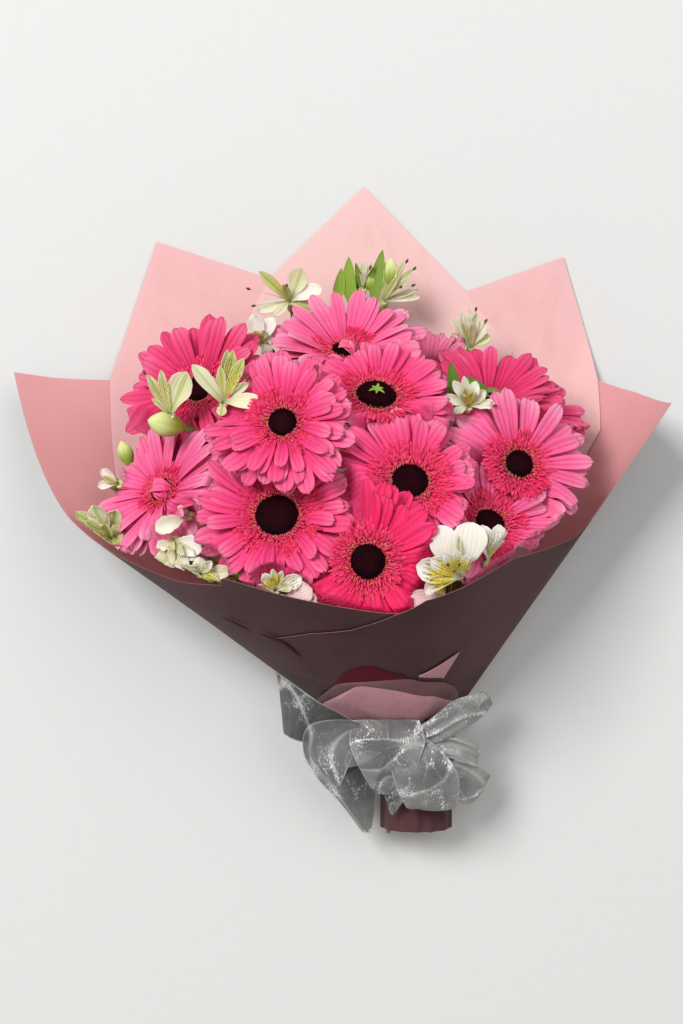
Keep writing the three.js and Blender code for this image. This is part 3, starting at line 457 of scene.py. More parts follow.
paints = {
    "petals": petalPaint("hotPinkPetals", "d81a56", "ff4889", "ffa0c4", "9c0a42"),
    # paler pink petals, lighter still as painted light on the blooms that the lamps leave dimmer
    "pale": petalPaint("palePinkPetalsWithPaintedLight", "ea3a74", "ff6aa0", "ffbad4", "b01650"),
    "deep": petalPaint("deepPinkPetals", "c41450", "ee3874", "ff84ae", "8a0638"),
    "crimson": petalPaint("crimsonPetals", "f20c49", "fb266b", "fd4a8b", "9c0434"),
    "dusty": petalPaint("dustyPetals", "c04468", "e86c94", "f7abc2", "862643"),
    "florets": floretPaint("pinkFlorets", "da0c43", "f2386f"),
    "eye": eyePaint("darkEye"),
    "gerberaStem": greenPaint("gerberaGreen", "5f7a34", "9ab45c", "a9c26a"),
    "greens": greenPaint("alstroemeriaGreen", "3f6a25", "9dbb48", "dde29a"),
    "tepals": tepalPaint("whiteTepals"),
    "paperInside": paperPaint("softPinkPaper", "dc9599", "cd878d", "eac0be"),
    # the outside: a dusky mauve painted much darker still, as painted shade over the outside of the wrap; its light
    # end is the inside pink turned out on the folds
    "shadedPaperOutside": paperPaint("mauvePaperWithPaintedShade", "2f1316", "1b090b", "cc959c", 0.06),
    # near-black red sheets, painted as the shade in the slits between layers of paper
    "slitShade": paperPaint("deepRedSlitShade", "3a020a", "220105", "6c0818", 0.05),
    "ribbon": organzaPaint("silverOrganza"),
    "floor": floorPaint("paleFloor", "dcdcdb"),
}
print("paints mixed:", len(paints))

# The wrap: sheets on a cone, flat below and round above.
wrap = {
    "apex": (60, -216, 0),
    "thickness": 0.4,
    "layer": 1.3, "clearance": 0.2,
    "neckY": -166, "neckCentre": (45, 36), "neckHalf": (48, 37),
    "handleCentre": (60, 30.2), "handleRadius": (30, 28), "handleStartY": -177, "handleEndY": -256,
    "tieY": -196,
    # azimuth and elevation of the cone's straight lines, from the back round by the left
    "directions": [(-5, 0), (-20, 0), (-33, 0), (-43, 3), (-50, 11), (-52.5, 21), (-48, 33), (-37, 45), (-22, 53),
                   (-6, 56), (8, 52), (20, 42), (29, 30), (33, 18.5), (30, 7.5), (22, 0), (10, 0)],
    "stepsBetween": 40,
    # flowers stay this far inside the cone
    "margin": 8.0,
    # heights of the creases, where they start, and how far the pleats fade and the waves grow from there
    "wrinkle": 2.2, "pleat": 2.6, "handlePleat": 2.2, "creaseFrom": 90, "pleatReach": 55, "waveReach": 160,
    # the front, in degrees of paper, and the share of the waves that the back has
    "frontFrom": -60, "frontWidth": 130, "backShare": 0.35,
    # degrees between the columns of a sheet, its rows along the handle and up to the edge, rows and columns of a tuck
    "columnStep": 1.5, "leastStep": 0.3, "handleRows": 9, "rows": 44, "tuckColumns": 34, "tuckRows": 12,
    # how far the last row of the handle leans to the neck
    "neckShare": 0.45,
}


def coneLines():
    corners = []
    for azimuth, elevation in wrap["directions"]:
        a, e = math.radians(azimuth), math.radians(elevation)
        corners.append((math.sin(a) * math.cos(e), math.cos(a) * math.cos(e), math.sin(e)))
    corners = np.array(corners)
    t = np.linspace(0, 1, wrap["stepsBetween"], endpoint=False)[:, None]
    loop = np.concatenate([between(*(corners[(i + k) % len(corners)] for k in (-1, 0, 1, 2)), t)
                           for i in range(len(corners))])
    loop[:, 2] = np.maximum(loop[:, 2], 0)
    loop = unit(loop)
    front = int(np.argmax(loop[:, 2]))
    loop = np.array([loop[(front - i) % len(loop)] for i in range(len(loop) + 1)])
    steps = np.degrees(np.arccos(np.clip((loop[1:] * loop[:-1]).sum(1), -1, 1)))
    return loop, np.concatenate([[0], np.cumsum(steps)])


coneLoop, conePassed = coneLines()
fullTurn = conePassed[-1]
apex = vec(wrap["apex"])
coneAxis = unit(coneLoop.mean(0))
coneSide = unit(np.cross(coneAxis, (0, 0, 1)))
coneUp = np.cross(coneSide, coneAxis)
loopTurn = np.arctan2(coneLoop @ coneUp, coneLoop @ coneSide)
loopOff = np.arccos(np.clip(coneLoop @ coneAxis, -1, 1))
order = np.argsort(loopTurn)


def lineAt(angle):
    wrapped = np.mod(angle, fullTurn)
    return unit(np.stack([np.interp(wrapped, conePassed, coneLoop[:, k]) for k in range(3)], -1))


def inwardAt(angle):
    ahead = lineAt(np.asarray(angle) + 1) - lineAt(np.asarray(angle) - 1)
    return unit(np.cross(ahead, lineAt(angle)))


def neckReach(angle):
    return (wrap["neckY"] - apex[1]) / lineAt(angle)[..., 1]


def insideWrap(points):
    # Points beyond the cone are turned back to just inside it, at their distance from its apex.
    v = points - apex
    far = np.linalg.norm(v, axis=1, keepdims=True)
    d = v / far
    turn = np.arctan2(d @ coneUp, d @ coneSide)
    off = np.arccos(np.clip(d @ coneAxis, -1, 1))
    most = np.interp(turn, loopTurn[order], loopOff[order], period=math.tau) - wrap["margin"] / far[:, 0]
    off = np.minimum(off, most + 0.005 * np.tanh((off - most) * 4))
    ring = np.cos(turn)[:, None] * coneSide + np.sin(turn)[:, None] * coneUp
    return apex + far * (np.cos(off)[:, None] * coneAxis + np.sin(off)[:, None] * ring)


def creases(angle, reach):
    # How far the paper buckles inwards: pleats near the tie, soft waves further out.
    turn = np.mod(angle, fullTurn) / fullTurn * math.tau
    past = reach - wrap["creaseFrom"]
    pleats = 0.5 + 0.5 * np.sin(11 * turn + 1.3 * np.sin(3 * turn) + 0.4)
    waves = 0.5 + 0.5 * ripple(np.cos(turn) * 4 + reach / 120, np.sin(turn) * 4 + reach / 190, 5)
    front = np.where(np.mod(angle - wrap["frontFrom"], fullTurn) < wrap["frontWidth"], 1.0, wrap["backShare"])
    return (wrap["pleat"] * np.exp(-past / wrap["pleatReach"]) * pleats
            + wrap["wrinkle"] * waves * smooth(past / wrap["waveReach"]) * front)


def wrapPoints(angle, reach, inward):
    # Points of the wrap: reach is the distance from the apex, and -1 to 0 runs along the handle.
    line, inside = lineAt(angle), inwardAt(angle)
    neck = apex + line * neckReach(angle)[:, None]
    turn = np.arctan2((neck[:, 0] - wrap["neckCentre"][0]) / wrap["neckHalf"][0],
                      (neck[:, 2] - wrap["neckCentre"][1]) / wrap["neckHalf"][1])
    y = wrap["handleStartY"] + (wrap["handleEndY"] - wrap["handleStartY"]) * -reach
    deep = inward + wrap["handlePleat"] * np.abs(np.sin(6 * turn + 0.9 * np.sin(2 * turn))) * smooth(0.2 - reach)
    low = np.stack([wrap["handleCentre"][0] + (wrap["handleRadius"][0] - deep) * np.sin(turn), y,
                    wrap["handleCentre"][1] + (wrap["handleRadius"][1] - deep) * np.cos(turn)], -1)
    high = apex + line * reach[:, None] + inside * (inward + creases(angle, reach))[:, None]
    return np.where((reach > 0)[:, None], high, low)


def edgeReach(edge, angle):
    # Where the straight line between two corners of the flat sheet crosses an angle.
    i = max(1, next((k for k, (a, _) in enumerate(edge) if a >= angle - 1e-9), len(edge) - 1))
    (x1, y1), (x2, y2) = ((r * math.cos(math.radians(a)), r * math.sin(math.radians(a)))
                          for a, r in edge[i - 1:i + 1])
    c, s = math.cos(math.radians(angle)), math.sin(math.radians(angle))
    return (x1 * y2 - x2 * y1) / (c * (y2 - y1) - s * (x2 - x1))


# corner points (angle of paper, reach) of each sheet's free edge, straight between them on the flat sheet;
# depth counts the layers outside it, and fade is where and over how many degrees they end
sheets = [
    {"name": "leftWrap", "node": "paper_left_wrap", "depth": 1.15, "fade": (38, 24), "handle": True, "tone": 0.12,
     "edge": [(-16, 246), (1, 253), (19, 271), (27, 292), (29, 283), (38, 288), (53, 360), (68, 464), (76, 411),
              (101, 375)]},
    {"name": "rightWrap", "node": "paper_right_wrap", "depth": 0, "handle": True, "tone": 0.1,
     "edge": [(106, 375), (139.5, 358), (146.5, 362), (157.5, 374), (161, 268), (165, 252), (184, 257),
              (203, 264), (208.44, 253), (217, 229), (226.44, 220), (236.44, 211)]},
    {"name": "backLeftSheet", "node": "paper_back_left", "depth": 1, "handle": False, "tone": 0.7,
     "edge": [(66, 338), (76, 411), (88, 489), (97.5, 427), (102.5, 398)]},
    {"name": "backRightSheet", "node": "paper_back_right", "depth": 1, "handle": False, "tone": 0.8,
     "edge": [(105, 372), (120, 401), (130, 445), (139.5, 358), (144, 322)]},
    {"name": "backSheet", "node": "paper_back", "depth": 2, "handle": False, "tone": 1.0,
     "edge": [(90, 378), (97.5, 427), (109, 487), (120, 401), (127, 358)]},
]


def makeSheet(sheet):
    edge = sheet["edge"]
    columns = np.arange(edge[0][0], edge[-1][0], wrap["columnStep"])
    angles = np.unique(np.round(np.concatenate([columns, [a for a, _ in edge]]), 3))
    angles = angles[np.concatenate([[True], np.diff(angles) > wrap["leastStep"]])]
    fadeFrom, fadeOver = sheet.get("fade", (math.inf, 1))
    inward = sheet["depth"] * (1 - smooth((angles - fadeFrom) / fadeOver)) * wrap["layer"] + wrap["clearance"]
    tips = np.array([edgeReach(edge, a) for a in angles])
    rows, far = [], []
    neck = neckReach(angles)
    if sheet["handle"]:
        for share in np.linspace(-1, 0, wrap["handleRows"])[:-1]:
            rows.append(wrapPoints(angles, np.full(len(angles), share), inward))
        handleTop = wrapPoints(angles, np.full(len(angles), -1e-6), inward)
        rows.append((1 - wrap["neckShare"]) * handleTop + wrap["neckShare"] * wrapPoints(angles, neck, inward))
        far = [0.0] * len(rows)
    for share in np.linspace(0, 1, wrap["rows"]) ** 1.1:
        rows.append(wrapPoints(angles, neck + 1 + (tips - neck - 1) * share, inward))
        far.append(share)
    points = np.array(rows)
    points[..., 2] = np.maximum(points[..., 2], drawing["floorGap"])
    uv = np.stack(np.meshgrid((angles - angles[0]) / fullTurn, far), -1)
    heap = Heap()
    heap.grid(points[:, ::-1], uv[:, ::-1], tint=sheet["tone"])
    heap.make(sheet["name"], ["shadedPaperOutside", "paperInside"], "paper", sheet["node"], wrap["thickness"], backSlot=1)


# tucks and folds of the front, above the ribbon: lower and upper edge as (angle, reach) from left to right
tucks = [
    {"name": "foldedFront", "paint": "shadedPaperOutside", "tone": 1.0, "out": 1.1, "bulge": 2.2,
     "low": [(41.5, 110), (49, 94), (48, 84), (45.5, 74), (16.5, 76), (-4.5, 86), (-15, 78), (-20.5, 84), (-32, 84)],
     "high": [(40.5, 112), (28, 126), (19.5, 138), (13, 150), (6, 147), (-1, 139), (-9.5, 120), (-17.5, 104),
              (-31, 86)]},
    {"name": "tuckedBand", "paint": "shadedPaperOutside", "tone": 0.3, "out": 0.7, "bulge": 1.0,
     "low": [(52, 104), (29, 124), (20, 136), (13, 148), (6.5, 146), (-1, 138), (-9.5, 118), (-18, 102), (-40, 78)],
     "high": [(44.5, 112), (29.5, 134), (22.5, 146), (16.5, 151), (10.5, 156), (4.5, 160), (-1, 161), (-8, 144),
              (-37.5, 82)]},
    {"name": "flapTurned", "paint": "shadedPaperOutside", "tone": 0.95, "out": 1.0, "bulge": 0.6,
     "low": [(-3.5, 162), (-7.5, 152), (-13.5, 138)], "high": [(-3.5, 164), (-10.5, 164), (-17, 166)]},
    # the last three are thin dark sheets, painted shade in the slits between the layers
    {"name": "crescentSlitShade", "paint": "slitShade", "tone": 0.6, "out": 0.6, "bulge": 0.2,
     "low": [(23, 145.5), (10.5, 155), (0, 163)],
     "high": [(23, 146), (15.5, 168), (9, 178), (4.5, 172), (0, 166)]},
    {"name": "sideSlit", "paint": "slitShade", "tone": 0.0, "out": 0.3, "bulge": 0.1,
     "low": [(31, 218), (28, 204), (26, 186)], "high": [(31, 219), (26.9, 208), (26, 187)]},
    {"name": "edgeSlit", "paint": "slitShade", "tone": 0.0, "out": 0.3, "bulge": 0.1,
     "low": [(36.5, 241), (35.1, 232), (33, 223)], "high": [(36.5, 242), (34.5, 234), (33, 224)]},
]


def makeTuck(tuck):
    across = np.linspace(0, 1, wrap["tuckColumns"])
    low, high = along(tuck["low"], across), along(tuck["high"], across)
    rows = []
    for share in np.linspace(0, 1, wrap["tuckRows"]):
        place = low + (high - low) * share
        puff = math.sin(math.pi * share) ** 0.7 * np.sin(math.pi * across) ** 0.5
        fold = 0.3 * ripple(across * 9, share * 3 + 0 * across, 8)
        rows.append(wrapPoints(place[:, 0], place[:, 1], -(tuck["out"] + tuck["bulge"] * puff + fold * puff)))
    heap = Heap()
    heap.grid(np.array(rows)[:, ::-1], tint=tuck["tone"])
    heap.make(tuck["name"], [tuck["paint"]], "paper", thick=wrap["thickness"])


for sheet in sheets:
    makeSheet(sheet)
for tuck in tucks:
    makeTuck(tuck)
print("paper folded:", len(sheets), "sheets,", len(tucks), "tucks")

# The gerberas, uppermost first. Pale is how light the petals are, partly as painted light, fringe the width of the
# ring of florets, and reach how far the petals go against the radius, from the right round by the top, every 45
# degrees. Clear is the share of the eye that stays open, and a folded petal lies back over it: place on the rim in
# degrees, length, width, lift.
gerberaColumns = ("name", "centre", "facing", "radius", "disc", "lift", "fringe", "pale", "paint", "reach")
gerberaRows = [
    ("A", (-43, 65, 182), (-0.12, 0.3, 1), 56, 10.5, 10, 14.5, 0.35, "petals",
     (0.92, 1.0, 1.03, 1.02, 1.05, 1.02, 0.97, 1.14), {"full": True}),
    ("B", (-47, -3, 178), (-0.06, 0.32, 0.95), 62, 16, 8, 16.5, 0.3, "petals",
     (0.95, 1.02, 0.95, 1.12, 1.12, 1.02, 0.98, 0.97), {"full": True, "clear": 0.85}),
    ("C", (19, -35, 203), (0, -0.02, 1), 53, 13, 10, 11.8, 0.4, "crimson",
     (1.0, 1.08, 1.1, 1.1, 1.05, 1.02, 1.1, 1.05), {}),
    ("D", (50, 22, 182), (0.08, 0.42, 0.9), 58, 13.5, 10, 17.5, 0.5, "petals",
     (0.84, 1.02, 1.08, 1.1, 1.2, 1.05, 0.9, 0.9), {"clear": 0.2}),
    ("G", (109, -9, 161), (0.28, 0.46, 0.84), 57, 11, 6, 16.5, 0.7, "pale",
     (1.18, 1.05, 1.0, 1.0, 1.05, 1.0, 0.95, 1.1), {"clear": 0.5}),
    ("F", (133, 36, 140), (0.24, 0.3, 0.92), 59, 10.5, 6, 15.5, 0.7, "pale",
     (1.06, 1.05, 1.08, 1.2, 1.16, 1.0, 1.0, 1.05), {}),
    ("E", (26, 86, 148), (0.08, 0.72, 0.68), 56, 15.5, 18, 14, 0.4, "petals",
     (1.12, 1.18, 1.1, 1.05, 1.0, 1.0, 1.0, 1.1), {}),
    ("H", (-136, 16, 127), (-0.6, 0.45, 0.66), 57, 9, 14, 11, 0.6, "pale",
     (1.22, 1.2, 1.08, 1.05, 1.06, 1.06, 1.06, 1.05),
     {"folded": [(6, 17, 13, 60), (-34, 13, 10, 55), (-62, 10, 8, 50)]}),
    ("I", (-109, 94, 112), (-0.38, 0.36, 0.86), 61, 10.5, 12, 13, 0.3, "deep",
     (1.0, 1.0, 1.06, 1.05, 1.1, 1.15, 1.05, 1.05), {}),
    ("J", (3, 124, 105), (-0.05, 0.8, 0.6), 59, 10, 24, 15, 0.6, "pale",
     (1.08, 1.1, 1.14, 1.1, 1.08, 1.0, 1.0, 1.0),
     {"hidden": True, "clear": 0.55, "dry": 0.3, "folded": [(-14, 17, 10, 40), (-50, 13, 9, 46)]}),
    ("K", (116, 86, 96), (0.12, 0.8, 0.52), 61, 8, 30, 4, 0.1, "deep", (0.95, 1.0, 1.02, 1.0, 0.98, 1.0, 1.0, 1.0),
     {"hidden": True, "clear": 0.0}),
    ("M", (150, 79, 84), (0.5, 0.76, 0.42), 50, 8, 28, 4, 0.3, "petals", (1.0, 1.0, 1.0, 1.0, 1.0, 1.0, 1.0, 1.0),
     {"hidden": True, "clear": 0.0}),
    ("L", (68, 112, 76), (0.02, 0.84, 0.46), 49, 8, 30, 4, 0.4, "dusty", (1.0, 1.0, 1.0, 1.0, 1.0, 1.0, 1.0, 1.0),
     {"hidden": True, "clear": 0.0, "dry": 0.3}),
]
gerberas = [dict(zip(gerberaColumns, row), **row[-1]) for row in gerberaRows]
bloom = {
    # petals in a layer, length against the bloom's reach, lift and curl in degrees, width in mm
    "layers": [(18, 1.00, -8, -8, 14.0), (19, 0.97, -1, -12, 13.2), (17, 0.90, 6, -16, 12.6)],
    "inner": [(14, 0.74, 13, -20, 11.0)],
    "petal": {"outline": ([0, 0.12, 0.3, 0.52, 0.72, 0.86, 0.94, 0.985, 1],
                          [0.30, 0.40, 0.66, 0.9, 1.0, 0.93, 0.76, 0.50, 0.24]), "tipRound": 0.03},
    # how far each petal may differ from its layer's
    "vary": {"turn": (-0.42, 0.42), "length": (0.84, 1.06), "width": (0.82, 1.14), "lift": (-7, 7),
             "curl": (-16, 12), "roll": (3, 20), "sway": (-4, 4), "cup": (-0.2, 0.34)},
    # from the eye to the petals' roots, how far they go under it, and heights of the lowest layer and between layers
    "thickness": 0.45, "collar": 3.4, "rootIn": 2, "rootHeight": -2.6, "layerStep": 0.9,
    # the outer layers go at least this far; a petal over the eye of a lower bloom is tried again, a little shorter
    "fullLayers": 2, "leastShare": 0.88, "tries": 12, "shorter": 0.93, "eyeMargin": 1.1,
    # what lies under a bloom or a spray's flower: margin of lift, gap, reach of a flower, its lift, gap and height
    "bloomLift": 12, "bloomGap": 3.5, "flowerReach": 26, "flowerLift": 38, "flowerGap": 13, "flowerHeight": 24.0,
    # past its rim a bloom gives room again: how much, from where, over how far, and to where it counts at all
    "rimRoom": 30, "rimFrom": 0.86, "rimOver": 0.3, "rimEnd": 1.15,
}
florets = {
    "ringStep": 1.3, "gap": 1.38, "thickness": 0.3,
    # share of tan ones from the eye outwards; length, width and lift at the eye and outside
    "tan": (0.85, 0.5, 0.2, 0.06), "grow": ((3.0, 6.0), (1.15, 1.75), (66, 20)),
    "vary": {"turn": (-0.4, 0.4), "lean": (-30, 30), "out": (-0.6, 0.6), "length": (0.7, 1.25),
             "width": (0.8, 1.25), "lift": (-14, 16), "curl": (-85, -20), "roll": (-35, 35)},
    "blade": {"rows": 4, "columns": 3, "cup": 0.5, "tipRound": -0.06,
              "outline": ([0, 0.3, 0.7, 1], [0.6, 0.85, 1.0, 0.35])},
}
eye = {"foot": 1.6, "rise": 3.4, "budsPerDisc": 1.35, "goldenTurn": 2.39996, "budRadius": 0.62, "budHeight": 1.5,
       "rings": (0.97, 0.9, 0.75, 0.55, 0.3, 0.02)}


def under(points, centre, facing, reach, lift, gap, above=200.0):
    # Points that would come up through a bloom, or a flower, are sunk below its underside.
    side, ahead, up = frameOf(facing)
    v = points - vec(centre)
    h, off = v @ up, np.hypot(v @ side, v @ ahead)
    rim = smooth((off / reach - bloom["rimFrom"]) / bloom["rimOver"])
    roof = off * math.tan(math.radians(lift)) - gap + bloom["rimRoom"] * rim
    down = np.where((off < reach * bloom["rimEnd"]) & (h < roof + above), np.maximum(h - roof, 0), 0)
    return points - down[:, None] * up


def settle(points, k):
    for other in gerberas[:k]:
        points = under(points, other["centre"], other["facing"], other["radius"],
                       other["lift"] - bloom["bloomLift"], bloom["bloomGap"])
    for at, facing, size in overlying:
        points = under(points, at, facing, bloom["flowerReach"] * size, bloom["flowerLift"], bloom["flowerGap"],
                       bloom["flowerHeight"])
    return insideWrap(points)


def coversEye(points, lower):
    # Whether each point hides the eye of a bloom further down from the view straight above.
    up, eyeTop = unit(lower["facing"]), vec(0, 0, drawing["viewHeight"])
    ray, toBloom = points - eyeTop, vec(lower["centre"]) - eyeTop
    reach = (toBloom @ up) / (ray @ up)
    off = np.linalg.norm(ray * reach[..., None] - toBloom, axis=-1)
    return (off < lower["disc"] * lower.get("clear", 1.0) * bloom["eyeMargin"]) & (reach > 1)


def reachAt(flower, turn):
    share = np.interp(math.degrees(turn) % 360, np.arange(0, 361, 45), flower["reach"] + flower["reach"][:1])
    return flower["radius"] * share


def wobble(flower, turn):
    # An eye isn't a true circle.
    return 1 + 0.05 * ripple(1.5 * np.cos(turn), 1.5 * np.sin(turn), flower["name"])


def picker(draw, ranges):
    # Draws a value at random from the range with the given name.
    return lambda name: draw.uniform(*ranges[name])


def makePetals(k, flower, axes, draw):
    side, ahead, up = axes
    middle, disc, heap = vec(flower["centre"]), flower["disc"], Heap()
    rootRadius, pick = disc + bloom["collar"], picker(draw, bloom["vary"])
    layers = bloom["layers"] + (bloom["inner"] if flower.get("full") else [])
    for layer, (count, share, lift, curl, width) in enumerate(layers):
        start = draw.uniform(0, 1)
        for n in range(count):
            turn = (n + start + pick("turn")) / count * math.tau
            out = spoke(turn, side, ahead)
            height = bloom["rootHeight"] + bloom["layerStep"] * layer
            root = middle + out * (rootRadius - bloom["rootIn"]) + up * height
            reach = reachAt(flower, turn) - rootRadius
            length = (reach + bloom["rootIn"]) * share * pick("length")
            if layer < bloom["fullLayers"]:
                length = max(length, bloom["leastShare"] * reach)
            shape = dict(width=width * pick("width"), lift=flower["lift"] + lift + pick("lift"),
                         curl=curl + pick("curl"), roll=draw.choice((-1, 1)) * pick("roll"), sway=pick("sway"),
                         cup=pick("cup"), ridge=0.5, **bloom["petal"])
            tint = 0.65 * draw.random() + 0.35 * flower["pale"]
            for _ in range(bloom["tries"]):
                petal = stand(bladeGrid(length, **shape), root, out, up)
                if not any(coversEye(petal, lower).any() for lower in gerberas[k + 1:]):
                    heap.grid(petal, tint=tint)
                    break
                length *= bloom["shorter"]
    for degrees, length, width, lift in flower.get("folded", []):
        out = spoke(math.radians(degrees), side, ahead)
        grid = bladeGrid(length, width, lift, -1.7 * lift, draw.uniform(-25, 25), draw.uniform(-3, 3), cup=0.45,
                         ridge=0.3, **bloom["petal"])
        heap.grid(stand(grid, middle + out * (disc + 1.2) + up * 1.2, -out, up), tint=draw.random(),
                  kind=flower.get("dry", 0.0))
    # the core that carries the petals
    heap.solid(turned(middle, wheel(28, side, ahead), up, [
        (0.5, -5.2), (rootRadius - 2.4, -5.0), (rootRadius - 0.8, -3.4), (rootRadius - 0.4, -1.4),
        (rootRadius - 1.2, 0.4), (disc - 0.6, 1.2), (0.5, 1.2)]), tint=0.1)
    heap.place(lambda points: settle(points, k))
    heap.make("gerbera" + flower["name"] + "Petals", [flower["paint"]], "gerbera_petals",
              "gerbera_" + flower["name"].lower() + "_petals", bloom["thickness"])


def makeFlorets(flower, axes, draw, bend):
    side, ahead, up = axes
    middle, disc, heap = vec(flower["centre"]), flower["disc"], Heap()
    pick = picker(draw, florets["vary"])
    slope = math.tan(math.radians(flower["lift"] + (10 if flower.get("full") else 3)))
    rings = int(flower["fringe"] / florets["ringStep"])
    for ring in range(rings):
        outside = -0.5 + ring * florets["ringStep"]
        length, width, lift = (a + (b - a) * (ring / max(1, rings - 1)) for a, b in florets["grow"])
        tan = florets["tan"][ring] if ring < len(florets["tan"]) else 0.0
        floor = max(0.6, (outside - 1.4) * slope - 0.3)
        count = int(math.tau * (disc + outside) / florets["gap"])
        for n in range(count):
            turn = (n + pick("turn")) / count * math.tau
            out = spoke(turn, side, ahead)
            way = spoke(math.radians(pick("lean")), out, np.cross(up, out))
            root = middle + out * ((disc + outside) * wobble(flower, turn) + pick("out")) + up * floor
            grid = bladeGrid(length * pick("length"), width * pick("width"), lift + pick("lift"), pick("curl"),
                             pick("roll"), **florets["blade"])
            heap.grid(stand(grid, root, way, up), tint=draw.random(), kind=float(draw.random() < tan))
    heap.place(bend)
    heap.make("gerbera" + flower["name"] + "Florets", ["florets"], "gerbera_petals", thick=florets["thickness"])


def makeEye(flower, axes, draw, bend):
    # A dark dome set all over with small buds.
    side, ahead, up = axes
    middle, disc, heap = vec(flower["centre"]), flower["disc"], Heap()
    height = lambda share: eye["foot"] + eye["rise"] * math.sqrt(max(0.0, 1 - share * share)) * (0.78 + 0.22 * share)
    uneven = wobble(flower, np.linspace(0, math.tau, 32, endpoint=False))
    heap.solid(turned(middle, uneven[:, None] * wheel(32, side, ahead), up,
                      [(disc * 0.96, 1.0)] + [(disc * s, height(s)) for s in eye["rings"]]), tint=0.0)
    count = int(eye["budsPerDisc"] * disc * disc)
    for n in range(count):
        share, turn = math.sqrt((n + 0.6) / count), n * eye["goldenTurn"]
        out = spoke(turn, side, ahead)
        way = unit(up + 0.5 * share * out + 0.15 * vec([draw.uniform(-1, 1) for _ in range(3)]))
        foot = middle + 0.97 * disc * share * wobble(flower, turn) * out + (height(share) - 0.4) * up
        across = unit(np.cross(way, ahead))
        size = eye["budRadius"] * draw.uniform(0.8, 1.15)
        tall = eye["budHeight"] * draw.uniform(0.7, 1.3) * (0.75 + 0.5 * share ** 3)
        heap.solid(turned(foot, wheel(5, across, np.cross(way, across)), way,
                          [(size, 0), (0.9 * size, 0.6 * tall), (0.25 * size, tall)]), tint=draw.random())
    heap.place(bend)
    heap.make("gerbera" + flower["name"] + "Eye", ["eye"], "gerbera_eye",
              "gerbera_" + flower["name"].lower() + "_eye")


